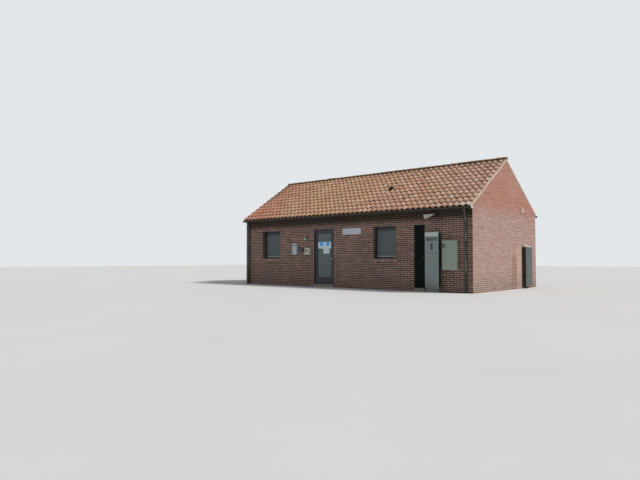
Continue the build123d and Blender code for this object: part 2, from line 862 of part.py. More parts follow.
def cabinet_hinge_heights():
    """Heights of the cabinet door's hinges."""
    quarter = (cabinet_front_height - cabinet_bottom) / 4
    return (cabinet_bottom + quarter, cabinet_front_height - quarter)


def cabinet_door():
    """Plain door of the cabinet with its knuckles and a small knob."""
    x, face = cabinet_ranges()
    leaf_y = (face, face + cabinet_door_thickness)
    z = (cabinet_bottom, cabinet_front_height - cabinet_roof_thickness - cabinet_door_gap)
    body = block(x, leaf_y, z)
    strap_y = (face + pin_radius / 2, face + cabinet_door_thickness - pin_radius / 2)
    pin_y = face + cabinet_door_thickness / 2
    for knuckle in side_knuckles(cabinet_hinge_x(), pin_y, cabinet_hinge_heights(), x[1], strap_y):
        body += knuckle
    knob_x = x[0] + 2 * cabinet_knob_radius
    body += rod((knob_x, face, (z[0] + z[1]) / 2), (0, -1, 0), cabinet_knob_radius, cabinet_knob_length)
    return cabinet_frame(body)


def gable_light():
    """Small upright light high on the gable."""
    x = (gable_light_from_corner - gable_light_width / 2, gable_light_from_corner + gable_light_width / 2)
    z = (gable_light_bottom, gable_light_bottom + gable_light_height)
    return cabinet_frame(soft_block(x, (-gable_light_depth, 0.0), z, box_corner_radius, Axis.Z))


left_window = door_opening(left_window_place, left_window_width)
right_window = door_opening(right_window_place, right_window_width)
entrance = door_opening(entrance_place, entrance_width)
service = door_opening(service_place, service_width)
entrance_x, entrance_z = leaf_outline(entrance, door_jamb, door_head)
service_x, service_z = leaf_outline(service, service_jamb, service_jamb)
door_face = front + door_reveal
entrance_hinge_x = entrance[0] + door_jamb + leaf_side_gap / 2
entrance_hinge_heights = [floor_thickness + height for height in (low_hinge, middle_hinge, high_hinge)]
service_hinge_x = service[0] + service_jamb + leaf_side_gap / 2
entrance_reach = plate_reach(door_jamb)
service_reach = plate_reach(service_jamb)
service_hinge_heights = [floor_thickness + height for height in (low_hinge, high_hinge)]

windows = (left_window, right_window)
nodes = {}

nodes["floor_slab"] = block(
    (-inner_length, inner_length), (-inner_width, inner_width), (0.0, floor_thickness))
nodes["front_wall_left"] = long_wall((-inner_length, entrance[0])) - window_hole(left_window)
nodes["front_wall_middle"] = long_wall((entrance[1], service[0])) - window_hole(right_window)
nodes["front_wall_right"] = long_wall((service[1], inner_length))
nodes["wall_over_entrance"] = long_wall(entrance, head_height)
nodes["wall_over_service_door"] = long_wall(service, head_height)
rear = long_wall((-inner_length, inner_length))
for opening in windows:
    rear -= window_hole(opening)
nodes["rear_wall"] = mirrored(rear)
nodes["left_gable"] = gable(-1)
nodes["right_gable"] = gable(1)

nodes["front_roof_deck"] = roof_deck()
nodes["rear_roof_deck"] = mirrored(roof_deck())
nodes["front_tiles"] = tile_slope()
nodes["rear_tiles"] = mirrored(tile_slope())
nodes["ridge_tiles"] = ridge_caps()
nodes["ridge_bedding"] = Compound(children=[ridge_bedding(), mirrored(ridge_bedding())])
nodes["verge_mortar"] = Compound(children=[verge_mortar(-1), verge_mortar(1)])
nodes["fascia_boards"] = Compound(children=[fascia(), mirrored(fascia())])
nodes["front_gutter"] = gutter()
nodes["rear_gutter"] = mirrored(gutter())
nodes["gutter_hooks"] = Compound(children=gutter_hooks() + [mirrored(hook) for hook in gutter_hooks()])

front_pipes = [downpipe(x) for x in pipe_places()]
front_clips = [clip for x in pipe_places() for clip in pipe_clips(x)]
nodes["front_downpipes"] = Compound(children=front_pipes)
nodes["rear_downpipes"] = Compound(children=[mirrored(pipe) for pipe in front_pipes])
nodes["pipe_clips"] = Compound(children=front_clips + [mirrored(clip) for clip in front_clips])

nodes["front_window_frames"] = Compound(children=[window_frame(x) for x in windows])
nodes["front_window_panels"] = Compound(children=[window_panel(x) for x in windows])
nodes["rear_window_frames"] = Compound(children=[mirrored(window_frame(x)) for x in windows])
nodes["rear_window_panels"] = Compound(children=[mirrored(window_panel(x)) for x in windows])
sills = [sill_course(x) for x in windows]
nodes["window_sills"] = Compound(children=sills + [mirrored(sill) for sill in sills])

nodes["thresholds"] = Compound(children=[threshold(entrance), threshold(service)])
nodes["entrance_frame"] = door_frame(entrance, door_jamb, door_head, leaf_thickness)
nodes["entrance_leaf"] = entrance_leaf(entrance_x, entrance_z)
light_x, light_z = entrance_light(entrance_x, entrance_z)
pane_y = door_face + (leaf_thickness - pane_thickness) / 2
nodes["entrance_pane"] = block(light_x, (pane_y, pane_y + pane_thickness), light_z)
nodes["entrance_hinge_pins"] = Compound(
    children=hinge_pins(entrance_hinge_x, door_face, entrance_hinge_heights, entrance_reach))
nodes["entrance_hinge_knuckles"] = Compound(
    children=hinge_knuckles(entrance_hinge_x, door_face, entrance_hinge_heights, entrance_reach))
handle_x = entrance_x[1] - handle_backset
nodes["entrance_handles"] = Compound(children=[lever(handle_x, door_face, -1, -1),
                                               lever(handle_x, door_face + leaf_thickness, 1, -1)])
service_frame = door_frame(service, service_jamb, service_jamb, service_leaf_thickness)
for pin in hinge_pins(service_hinge_x, door_face, service_hinge_heights, service_reach):
    service_frame += pin
nodes["service_door_frame"] = service_frame
service_door = service_leaf(service_x, service_z)
for knuckle in hinge_knuckles(service_hinge_x, door_face, service_hinge_heights, service_reach):
    service_door += knuckle
nodes["service_door_leaf"] = service_door

sign_right = from_corner(sign_place)
nodes["sign_board"] = block((sign_right - sign_width, sign_right), (front - sign_thickness, front),
                            (sign_bottom, sign_bottom + sign_height))
nodes["ticket_machine"] = ticket_machine()
nodes["notice_case"] = notice_case()
nodes["notice_case_door"] = case_door()
nodes["notice_case_pane"] = case_pane()
nodes["notice_case_pull"] = case_pull()
nodes["post_box"] = post_box_body()
nodes["display_box"] = display_box_body()
nodes["call_box"] = call_box_body()
nodes["lamp_base"] = lamp_base()
nodes["lamp_cover"] = lamp_cover()
nodes["loudspeaker"] = horn()
nodes["loudspeaker_bracket"] = horn_bracket()
nodes["meter_cabinet"] = cabinet_body()
nodes["meter_cabinet_roof"] = cabinet_roof()
nodes["meter_cabinet_door"] = cabinet_door()
nodes["gable_light"] = gable_light()

os.makedirs("parts", exist_ok=True)
for name, solid in nodes.items():
    export_step(solid, os.path.join("parts", name + ".step"))
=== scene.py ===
import math

import bpy
import numpy as np
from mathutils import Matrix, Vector


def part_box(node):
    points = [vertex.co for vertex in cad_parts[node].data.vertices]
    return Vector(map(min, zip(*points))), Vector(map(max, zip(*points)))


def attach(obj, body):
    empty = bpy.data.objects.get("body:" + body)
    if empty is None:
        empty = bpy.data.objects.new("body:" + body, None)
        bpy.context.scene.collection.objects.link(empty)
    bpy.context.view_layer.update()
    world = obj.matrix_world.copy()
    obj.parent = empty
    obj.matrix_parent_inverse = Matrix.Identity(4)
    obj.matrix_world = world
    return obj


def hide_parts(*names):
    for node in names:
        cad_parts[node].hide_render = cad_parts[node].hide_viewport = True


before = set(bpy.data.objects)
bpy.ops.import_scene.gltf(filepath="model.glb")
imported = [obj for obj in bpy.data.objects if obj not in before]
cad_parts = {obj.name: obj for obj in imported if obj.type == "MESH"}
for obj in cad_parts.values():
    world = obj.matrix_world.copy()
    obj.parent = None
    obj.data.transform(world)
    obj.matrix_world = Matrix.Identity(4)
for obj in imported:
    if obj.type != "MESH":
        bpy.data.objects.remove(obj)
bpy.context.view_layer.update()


# The viewpoint: the camera stands as high as the window sills, about a metre over the ground, in front of
# the platform wall and to the right of it. It is turned to the left, and level but for two degrees.
camera = bpy.data.objects.new("camera", bpy.data.cameras.new("camera"))
camera.location = (12.763, -18.338, 1.067)
camera.rotation_euler = (math.radians(91.906), 0.0, math.radians(41.198))
camera.data.sensor_width = 36.0
camera.data.lens = 31.140
camera.data.clip_end = 400.0
bpy.context.scene.collection.objects.link(camera)
bpy.context.scene.camera = camera
bpy.context.scene.view_settings.view_transform = "Standard"


# Ground and light: a pale even floor, one large soft lamp high up beyond the right-hand gable, and an even
# pale sky that fills the shaded platform wall.
def maths(operation, reflected=False):
    """Method that adds a Math node for a Shade and another Shade or a plain number, in turn or reflected."""
    def method(self, other):
        first, second = (other, self) if reflected else (self, other)
        return self.graph.node("ShaderNodeMath", {"operation": operation}, {0: first, 1: second})[0]
    return method


class Shade:
    """One output of a node. Arithmetic on it adds Math nodes."""

    def __init__(self, graph, socket):
        self.graph = graph
        self.socket = socket

    __add__, __radd__ = maths("ADD"), maths("ADD", reflected=True)
    __sub__, __rsub__ = maths("SUBTRACT"), maths("SUBTRACT", reflected=True)
    __mul__, __rmul__ = maths("MULTIPLY"), maths("MULTIPLY", reflected=True)
    __gt__, __lt__ = maths("GREATER_THAN"), maths("LESS_THAN")
    larger = maths("MAXIMUM")

    def step(self, low, high):
        """0 under low, 1 over high, and a smooth climb between them."""
        settings = {"interpolation_type": "SMOOTHSTEP"}
        return self.graph.node("ShaderNodeMapRange", settings, {0: self, 1: low, 2: high, 3: 0.0, 4: 1.0})[0]

    def between(self, climb_from, climb_to, fall_from, fall_to):
        """0, then 1 past a smooth climb, and 0 again past a smooth fall."""
        return self.step(climb_from, climb_to) * (1.0 - self.step(fall_from, fall_to))


class Outputs:
    """Outputs of one node by name or number, each as a Shade."""

    def __init__(self, graph, node):
        self.graph = graph
        self.outlets = node.outputs

    def __getitem__(self, key):
        return Shade(self.graph, self.outlets[key])


def linear(colour):
    """Linear RGBA of a colour written as three 0 to 255 screen values, by the sRGB curve."""
    values = np.array(colour, float) / 255.0
    low = values / 12.92
    high = ((values + 0.055) / 1.055) ** 2.4
    return tuple(np.where(values <= 0.04045, low, high)) + (1.0,)


class Graph:
    """The nodes of a material or of the world. node() adds one of any kind."""

    def __init__(self, tree):
        self.tree = tree

    def node(self, kind, settings=None, inputs=None):
        """Adds one node: its settings first, then the values or links of its sockets. Gives its outputs."""
        made = self.tree.nodes.new(kind)
        for key, value in (settings or {}).items():
            if key == "stops":
                self.fill_ramp(made.color_ramp, value)
            else:
                setattr(made, key, value)
        for key, value in (inputs or {}).items():
            self.feed(made.inputs[key], value)
        return Outputs(self, made)

    def fill_ramp(self, ramp, stops):
        for position, colour in stops[1:-1]:
            ramp.elements.new(position).color = linear(colour)
        ramp.elements[0].color = linear(stops[0][1])
        ramp.elements[-1].color = linear(stops[-1][1])

    def feed(self, socket, value):
        if isinstance(value, Shade):
            self.tree.links.new(value.socket, socket)
        else:
            socket.default_value = value


class Finish(Graph):
    """A procedural material: a coat of colour with stains laid over it one by one."""

    def __init__(self, name, roughness=0.7, metallic=0.0, specular=0.5):
        self.material = bpy.data.materials.new(name)
        self.material.use_nodes = True
        super().__init__(self.material.node_tree)
        self.shader = self.tree.nodes["Principled BSDF"]
        self.to("Roughness", roughness)
        self.to("Metallic", metallic)
        self.to("Specular IOR Level", specular)
        self.place = self.node("ShaderNodeTexCoord")["Object"]

    def to(self, socket, value):
        """Links a value that varies, or sets one that doesn't, on one of the shader's own sockets."""
        self.feed(self.shader.inputs[socket], value)

    def noise(self, scale, detail=3.0, rough=0.55, stretch=None):
        """Cloudy noise about 0.5, with so many lumps to the metre, times stretch along each axis."""
        place = self.place
        if stretch is not None:
            place = self.node("ShaderNodeVectorMath", {"operation": "MULTIPLY"}, {0: place, 1: stretch})[0]
        return self.node("ShaderNodeTexNoise", {}, {
            "Vector": place, "Scale": scale, "Detail": detail, "Roughness": rough})["Fac"]

    def axis(self, name):
        return self.node("ShaderNodeSeparateXYZ", {}, {0: self.place})[name]

    def tint(self, name):
        """First three numbers of a point attribute by their order, and its fourth."""
        attribute = self.node("ShaderNodeAttribute", {"attribute_name": name})
        return self.node("ShaderNodeSeparateColor", {}, {0: attribute["Color"]}), attribute["Alpha"]

    def mix(self, factor, first, second):
        """Colour between two colours."""
        sockets = {0: factor, 6: first, 7: second}
        for key in (6, 7):
            if not isinstance(sockets[key], Shade):
                sockets[key] = linear(sockets[key])
        return self.node("ShaderNodeMix", {"data_type": "RGBA"}, sockets)[2]

    def ramp(self, factor, colours, places=None):
        """Colours in turn as the factor goes from 0 to 1, at even steps unless their places are given."""
        places = np.linspace(0.0, 1.0, len(colours)) if places is None else places
        return self.node("ShaderNodeValToRGB", {"stops": list(zip(places, colours))}, {0: factor})[0]

    def coat(self, colour):
        """The colour that stains are laid over."""
        self.colour = colour
        self.to("Base Color", colour)

    def stain(self, mask, colour):
        """Lays a colour over what is there, as far as the mask says from 0 to 1."""
        self.coat(self.mix(mask, self.colour, colour))

    def bump(self, height, strength, distance):
        """Relief: a height of 1 stands a distance proud."""
        self.to("Normal", self.node("ShaderNodeBump", {}, {
            "Height": height, "Strength": strength, "Distance": distance})[0])


def mottled(name, dark, light, *cloud, stretch=None, gloss=None, **surface):
    """Finish whose colour drifts from dark to light in clouds of the given noise.

    gloss is the roughness where the finish is darkest, and how much rougher it is where it is lightest."""
    made = Finish(name, **surface)
    made.cloud = made.noise(*cloud, stretch=stretch)
    made.coat(made.mix(made.cloud, dark, light))
    if gloss is not None:
        made.to("Roughness", gloss[0] + made.cloud * gloss[1])
    return made


def shape(name, points, faces, smooth=False, copies=1, mirrored=False):
    """Object from arrays of points and of faces with four corners.

    The faces are those of one shell, and are repeated for the copies whose points follow its own. smooth
    is one answer for all faces, or one for each face of the shell. Mirrored faces are turned over."""
    points = points.reshape(-1, 3)
    shell = len(points) // copies
    smooth = np.tile(np.broadcast_to(smooth, len(faces)), copies)
    faces = faces[:, ::-1] if mirrored else faces
    faces = (faces[None] + shell * np.arange(copies)[:, None, None]).reshape(-1, 4)
    mesh = bpy.data.meshes.new(name)
    mesh.vertices.add(len(points))
    mesh.vertices.foreach_set("co", points.astype(np.float32).ravel())
    mesh.loops.add(faces.size)
    mesh.loops.foreach_set("vertex_index", faces.astype(np.int32).ravel())
    mesh.polygons.add(len(faces))
    mesh.polygons.foreach_set("loop_start", np.arange(0, faces.size, 4, dtype=np.int32))
    mesh.polygons.foreach_set("use_smooth", smooth)
    mesh.update(calc_edges=True)
    mesh.validate()
    piece = bpy.data.objects.new(name, mesh)
    bpy.context.scene.collection.objects.link(piece)
    return piece


floor_reach = 60.0
floor_drop = 0.001
floor_corners = np.array([(-1, -1, 0), (1, -1, 0), (1, 1, 0), (-1, 1, 0)]) * floor_reach
floor = shape("floor", floor_corners - (0.0, 0.0, floor_drop), np.array([[0, 1, 2, 3]]))
pale_floor = mottled("pale_floor", (206, 206, 204), (213, 213, 211), 0.35, roughness=0.9, specular=0.1)
floor.data.materials.append(pale_floor.material)

world = bpy.data.worlds.new("sky")
bpy.context.scene.world = world
world.use_nodes = True
sky = Graph(world.node_tree)
fill = sky.tree.nodes["Background"]
sky.feed(fill.inputs["Color"], linear((236, 240, 248)))
sky.feed(fill.inputs["Strength"], 0.42)
backdrop = sky.node("ShaderNodeBackground", {}, {"Color": linear((228, 231, 234)), "Strength": 1.0})
seen = sky.node("ShaderNodeLightPath")
either = seen["Is Camera Ray"].larger(seen["Is Glossy Ray"])
blend = sky.node("ShaderNodeMixShader", {}, {0: either, 1: Outputs(sky, fill)[0], 2: backdrop[0]})
sky.feed(sky.tree.nodes["World Output"].inputs[0], blend[0])

lamp = bpy.data.objects.new("soft_lamp", bpy.data.lights.new("soft_lamp", "SUN"))
lamp.data.energy = 2.9
lamp.data.angle = math.radians(10.0)
lamp.data.color = (1.0, 0.975, 0.94)
lamp.rotation_euler = Vector((0.61, 0.26, 0.75)).to_track_quat("Z", "Y").to_euler()
bpy.context.scene.collection.objects.link(lamp)


# Brick walls: cavity walls of small red-brown facing bricks in stretcher bond, laid in pale mortar whose
# joints are raked a few millimetres back. The wall nodes are the mortar, and the bricks' faces stand on them.
half_length = 5.170
half_width = 2.610
floor_level = 0.100
sill_foot = 0.957
sill = 1.067
head = 2.180
window_depth = 0.150
door_depth = 0.120
below_ground = -0.01
joint = 0.012
half_brick = 0.1202
window_courses, courses_to_head = 19, 34
course = (head - sill_foot) / window_courses
course_start = head - courses_to_head * course
brick_proud = 0.004
brick_arris = 0.003
brick_root = 0.001
brick_play = 0.0007
shortest_cut = 0.02
lowest_cut = 0.008
thin_end = 0.001
tile_edge = 2.730
tile_edge_height = 2.700
roof_angle = math.radians(33.0)
roof_slope = math.tan(roof_angle)
upright = 1.0 / math.cos(roof_angle)
eaves_depth = 0.145
verge_depth = 0.065
rng = np.random.default_rng(407)


def tile_top(y, depth=0.0):
    """Height of the tiles' crest plane over a place, or of a plane a depth under it."""
    return tile_edge_height + (tile_edge - np.abs(y)) * roof_slope - depth * upright


def verge(u):
    """Top of a gable's brickwork, under its mortar bed, so far from the gable's left-hand corner."""
    return tile_top(u - half_width, verge_depth)


def ends(share, width):
    """Left and right of an opening, measured along the platform wall from its left-hand corner."""
    right = 2 * half_length * (1.0 - share)
    return right - width, right


def bond(length, first_header, low, high, holes=(), limit=None):
    """Bricks of one wall as rows of (left, right, bottom, top at the left, top at the right), in metres.

    Courses climb at an even pitch. In every second course the bricks start half a brick along, so a header
    closes the corner. Bricks are cut at the holes' sides and under the limit's slope, which leaves them a
    thin end."""
    halves = round((length + joint) / half_brick)
    half = (length + joint) / halves
    courses = np.arange(math.floor((low - course_start) / course), math.ceil((high - course_start) / course))
    row, column = np.meshgrid(courses, np.arange(-1, halves // 2 + 2), indexing="ij")
    left = (2 * column + (row + first_header) % 2) * half
    right = left + 2 * half - joint
    bottom = course_start + row * course + joint / 2
    top = bottom + course - joint
    bricks = np.stack([np.clip(left, 0.0, length), np.clip(right, 0.0, length),
                       np.clip(bottom, low, high), np.clip(top, low, high)], axis=-1).reshape(-1, 4)
    for hole_left, hole_right, hole_low, hole_high in holes:
        left, right = bricks[:, 0], bricks[:, 1]
        middle = (bricks[:, 2] + bricks[:, 3]) / 2
        beside = (middle > hole_low) & (middle < hole_high)
        inside = beside & (left >= hole_left) & (right <= hole_right)
        cuts_left = beside & (left < hole_left) & (right > hole_left)
        cuts_right = beside & (left < hole_right) & (right > hole_right) & ~cuts_left
        bricks[cuts_left, 1] = hole_left
        bricks[cuts_right, 0] = hole_right
        bricks = bricks[~inside]
    tops = bricks[:, [3, 3]]
    if limit is not None:
        tops = np.maximum(np.minimum(tops, limit(bricks[:, :2])), bricks[:, 2:3] + thin_end)
    wide = bricks[:, 1] - bricks[:, 0] > shortest_cut
    high_enough = tops.max(axis=1) - bricks[:, 2] > lowest_cut
    return np.concatenate([bricks[:, :3], tops], axis=1)[wide & high_enough]


def net(places, loop=False):
    """Faces of a net of point numbers: each joins a point, the next in its row, and the two under them.

    In a loop each row's last point is joined to its first."""
    if loop:
        places = np.concatenate([places, places[:, :1]], axis=1)
    corners = [places[:-1, :-1], places[:-1, 1:], places[1:, 1:], places[1:, :-1]]
    return np.stack(corners, axis=-1).reshape(-1, 4)


def colour_points(piece, name, numbers):
    """Gives every point of a piece four numbers, for its finish to read."""
    attribute = piece.data.attributes.new(name, "FLOAT_COLOR", "POINT")
    attribute.data.foreach_set("color", numbers.astype(np.float32).ravel())


def tint_each(piece, name, count, fourth=0.0):
    """Gives each of a piece's like shells three numbers drawn between 0 and 1, and a fourth they share."""
    drawn = np.concatenate([rng.random((count, 3)), np.full((count, 1), fourth)], axis=1)
    colour_points(piece, name, np.repeat(drawn, len(piece.data.vertices) // count, axis=0))


def brick_faces(name, bricks, corner, along, outward, bloom):
    """Shallow bricks on a plane: each is a face with four bevelled arrises and four sides.

    A brick's face is its own outline drawn in by the arris. The arris's outer edge stands the arris back
    from the face, and the sides run from there down to the wall. The last argument goes into the tint: how
    far the bricks take the paler colours of painted sunlight and lime bloom."""
    along, climb, outward = np.array([along, (0, 0, 1), outward], float)
    uneven = rng.normal(0.0, brick_play, (len(bricks), 1))
    u, v = bricks[:, [0, 1, 1, 0]], bricks[:, [2, 2, 4, 3]]
    arris = np.minimum(brick_arris, np.ptp(v, axis=1, keepdims=True) / 4)
    face_u = u + np.sign(u.mean(axis=1, keepdims=True) - u) * arris
    face_v = v + np.sign(v.mean(axis=1, keepdims=True) - v) * arris
    rings = [(u, v, np.full_like(uneven, -brick_root)), (u, v, brick_proud - brick_arris + uneven),
             (face_u, face_v, brick_proud + uneven)]
    points = np.concatenate([ring_u[..., None] * along + ring_v[..., None] * climb + lift[..., None] * outward
                             for ring_u, ring_v, lift in rings], axis=1) + np.array(corner)
    places = np.arange(12).reshape(3, 4)
    faces = np.concatenate([places[2:], net(places, loop=True)])
    mirrored = np.dot(np.cross(along, climb), outward) < 0
    piece = shape(name, points, faces, copies=len(bricks), mirrored=mirrored)
    tint_each(piece, "brick_tint", len(bricks), bloom)
    return piece


def over_height(finish, cloud, wander, low, high):
    """0 under a height and 1 over another, both raised and lowered by a cloud."""
    return (finish.axis("Z") + cloud * wander).step(low, high)


def eaves_shadow_mask(finish, cloud):
    """Mask of the painted shadow of the eaves: a dark band under them."""
    return over_height(finish, cloud, 0.12, 2.24, 2.50)


def reddened(finish):
    """Mask of the redder upper part of the right-hand gable."""
    return over_height(finish, finish.noise(1.4, 4.0), 0.5, 2.55, 3.15)


def brick_finish(name, painted_shade):
    """Fired clay: every brick has its own place between plum, red-brown, orange and pink, with kiln marks.

    The tint's fourth number runs from 0, where the bricks keep darker colours as painted shade, to 1, where
    they take paler, pinker colours as painted sunlight and lime bloom. The last argument is how far painted
    shade darkens them, as in the sides of an opening."""
    clay = Finish(name, specular=0.25)
    tint, bloom = clay.tint("brick_tint")
    sunny = bloom > 0.9
    # Darker colours for walls in painted shade, paler ones for walls in painted sunlight, mixed by the tint's
    # fourth number.
    shaded = clay.ramp(tint[0], [(62, 44, 40), (86, 58, 50), (104, 70, 58), (118, 81, 66), (138, 102, 86)],
                       (0.0, 0.22, 0.5, 0.75, 1.0))
    pale = clay.ramp(tint[0], [(152, 120, 112), (158, 126, 117), (163, 131, 122), (168, 136, 127),
                               (176, 146, 137)])
    red = clay.ramp(tint[0], [(156, 104, 90), (164, 110, 95), (169, 114, 98), (174, 118, 103),
                              (180, 127, 112)])
    streak = clay.noise(1.1, 4.0, 0.6, stretch=(1.0, 0.5, 3.0)).step(0.45, 0.7)
    sunlit_and_weathered = clay.mix(streak * 0.3, clay.mix(reddened(clay), pale, red), (168, 124, 112))
    clay.coat(clay.mix(bloom, shaded, sunlit_and_weathered))
    low_down = 1.0 - clay.axis("Z").step(1.13, 1.16)
    # Low on the right-hand gable: a darker patch, and a paler strip beside it.
    darker_patch = low_down * clay.axis("Y").between(0.32, 0.34, 0.77, 0.79)
    paler_strip = (1.0 - clay.axis("Z").step(1.50, 1.53)) * clay.axis("Y").between(0.79, 0.81, 1.25, 1.27)
    clay.stain(darker_patch * sunny * 0.6, (122, 78, 68))
    clay.stain(paler_strip * sunny * 0.6, (198, 168, 148))
    burnt = tint[1] > 0.87
    clay.stain(burnt * (0.6 - bloom * 0.5), (84, 60, 58))
    patch = clay.noise(0.9, 4.0).step(0.35, 0.75)
    clay.stain(patch * 0.25, clay.mix(bloom, (146, 112, 100), (176, 140, 128)))
    grain = clay.noise(42.0, 4.0, 0.7).step(0.35, 0.72)
    clay.stain(grain * (0.35 - bloom * 0.2), (104, 72, 66))
    damp = 1.0 - over_height(clay, clay.noise(3.0), 0.25, 0.25, 0.75)
    clay.stain(damp * 0.35, (84, 72, 58))
    # Painted shadow of the eaves: a dark band under them, left off the sunlit gable.
    eaves_shadow = eaves_shadow_mask(clay, clay.noise(2.2, 2.0, stretch=(1.0, 1.0, 0.3))) * (1.0 - bloom)
    clay.stain(eaves_shadow * 0.94, (38, 27, 18))
    # Painted shade, as in the sides of an opening.
    clay.stain(painted_shade, (34, 27, 24))
    clay.to("Roughness", 0.75 + clay.noise(30.0) * 0.2)
    clay.bump(clay.noise(160.0, 4.0, 0.7), 0.5, 0.0012)
    return clay


def fit(piece, finish, body, node=None):
    """Paints a new piece and fixes it to its body, in place of a CAD node where one is named."""
    piece.data.materials.append(finish.material)
    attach(piece, body)
    if node is not None:
        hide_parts(node)


red_clay = brick_finish("red_brick", 0.0)
# The bricks in the sides of the openings are darkened as painted shade.
reveal_clay = brick_finish("reveal_brick", 0.65)
left_window = ends(0.8031, 1.020)
right_window = ends(0.2675, 0.950)
entrance = ends(0.5331, 0.970)
service = ends(0.1610, 0.400)
window_holes = [sides + (sill_foot, head) for sides in (left_window, right_window)]
door_holes = [sides + (below_ground, head) for sides in (entrance, service)]
wall_top = tile_top(half_width, eaves_depth)
platform_wall = bond(2 * half_length, 0, 0.0, wall_top, window_holes + door_holes)
rear_wall = bond(2 * half_length, 1, 0.0, wall_top, window_holes)
gable = bond(2 * half_width, 1, 0.0, tile_top(0.0, verge_depth), limit=verge)
# The last number on each line is how far the wall's bricks take the pale colours of painted sunlight and lime
# bloom rather than the dark ones of painted shade.
for name, bricks, x, y, along, outward, bloom in (
        ("platform_bricks", platform_wall, -half_length, -half_width, (1, 0, 0), (0, -1, 0), 0.0),
        ("rear_bricks", rear_wall, -half_length, half_width, (1, 0, 0), (0, 1, 0), 0.25),
        ("right_gable_bricks", gable, half_length, -half_width, (0, 1, 0), (1, 0, 0), 1.0),
        ("left_gable_bricks", gable, -half_length, -half_width, (0, 1, 0), (-1, 0, 0), 0.35)):
    wall = brick_faces(name, bricks, (x, y, 0.0), along, outward, bloom)
    fit(wall, red_clay, "building")

reveal_number = 0
for (left, right), depth, foot, walls in (
        (left_window, window_depth, sill, (-1, 1)), (right_window, window_depth, sill, (-1, 1)),
        (entrance, door_depth, floor_level, (-1,)), (service, door_depth, floor_level, (-1,))):
    for side in walls:
        for edge, outward in ((left, 1), (right, -1)):
            reveal_number += 1
            corner = (edge - half_length, side * half_width, 0.0)
            reveal = brick_faces("reveal_bricks_%d" % reveal_number, bond(depth, 0, foot, head), corner,
                                 (0, -side, 0), (outward, 0, 0), 0.0)
            fit(reveal, reveal_clay, "building")


# Mortar: pale grey-buff lime mortar, sandy and a little stained, laid between the bricks and raked back. The
# same mortar beds the sills' bricks.
def dress(finish, *names):
    """Gives CAD nodes one material in place of what they came with."""
    for name in names:
        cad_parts[name].data.materials.clear()
        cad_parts[name].data.materials.append(finish.material)


mortar = mottled("wall_mortar", (186, 170, 160), (214, 198, 188), 1.2, 4.0, roughness=0.95, specular=0.1)
on_gable = mortar.axis("X").step(half_length - 0.02, half_length - 0.01)
# Painted shadow of the eaves darkens the joints in the same band, except on the right-hand gable.
mortar.stain(eaves_shadow_mask(mortar, mortar.noise(2.2)) * (1.0 - on_gable) * 0.94, (38, 28, 19))
mortar.stain(reddened(mortar) * on_gable * 0.6, (180, 134, 120))
mortar.stain(mortar.noise(90.0) * 0.35, (196, 184, 168))
mortar.bump(mortar.noise(220.0, 4.0), 0.5, 0.001)
dress(mortar, "front_wall_left", "front_wall_middle", "front_wall_right", "wall_over_entrance",
      "wall_over_service_door", "rear_wall", "left_gable", "right_gable")

# Pantiles: hand-pressed S-shaped clay tiles, fifty columns of twelve rows on each slope, hung on battens.
# Each tile's foot lies on the tile under it and its right-hand roll laps over its neighbour's left edge. The
# last column is cut in its trough, against the mortar of the verge.
columns, rows = 50, 12
slope_length = tile_edge * upright
last_cut = 0.70
cover = 2 * (half_length + 0.005) / (columns - 1 + last_cut)
gauge = slope_length / rows
eaves_reach = 0.022
left_reach = 0.015
slope_play = 0.004
tile_lap = 0.060
tile_wall = 0.011
tile_bed = -0.044
roll_height = 0.066
foot_lift = 0.025
roll_lift = 0.006
trough_place = 0.64
tile_stations = np.array([0.0, 0.13, 0.26, 0.38, 0.50, 0.64, 0.75, 0.87, 1.0, 1.1])
shift_play = 0.0016
slide_play = 0.0035
turn_play = 0.008
lift_play = 0.004
row_wander = 0.006
wander_turn = 0.9


def tile_height(across, along):
    """Height of a tile over its bed: a roll at each side and a trough between them.

    The roll falls to the trough as half a cosine, and the next one climbs out of it more steeply, as
    another. The foot is lifted in proportion to the way down, and the right side to the way across."""
    place = across % 1.0
    fall = np.cos(math.pi * place / trough_place)
    climb = -np.cos(math.pi * (place - trough_place) / (1.0 - trough_place))
    wave = 0.5 + 0.5 * np.where(place < trough_place, fall, climb)
    return roll_height * wave + foot_lift * (1.0 - along) + roll_lift * across


def on_slope(way, over):
    """Places across the building and heights of points so far up the platform slope and over its crests."""
    y = -tile_edge + way * math.cos(roof_angle) - over * math.sin(roof_angle)
    z = tile_edge_height + way * math.sin(roof_angle) + over * math.cos(roof_angle)
    return y, z


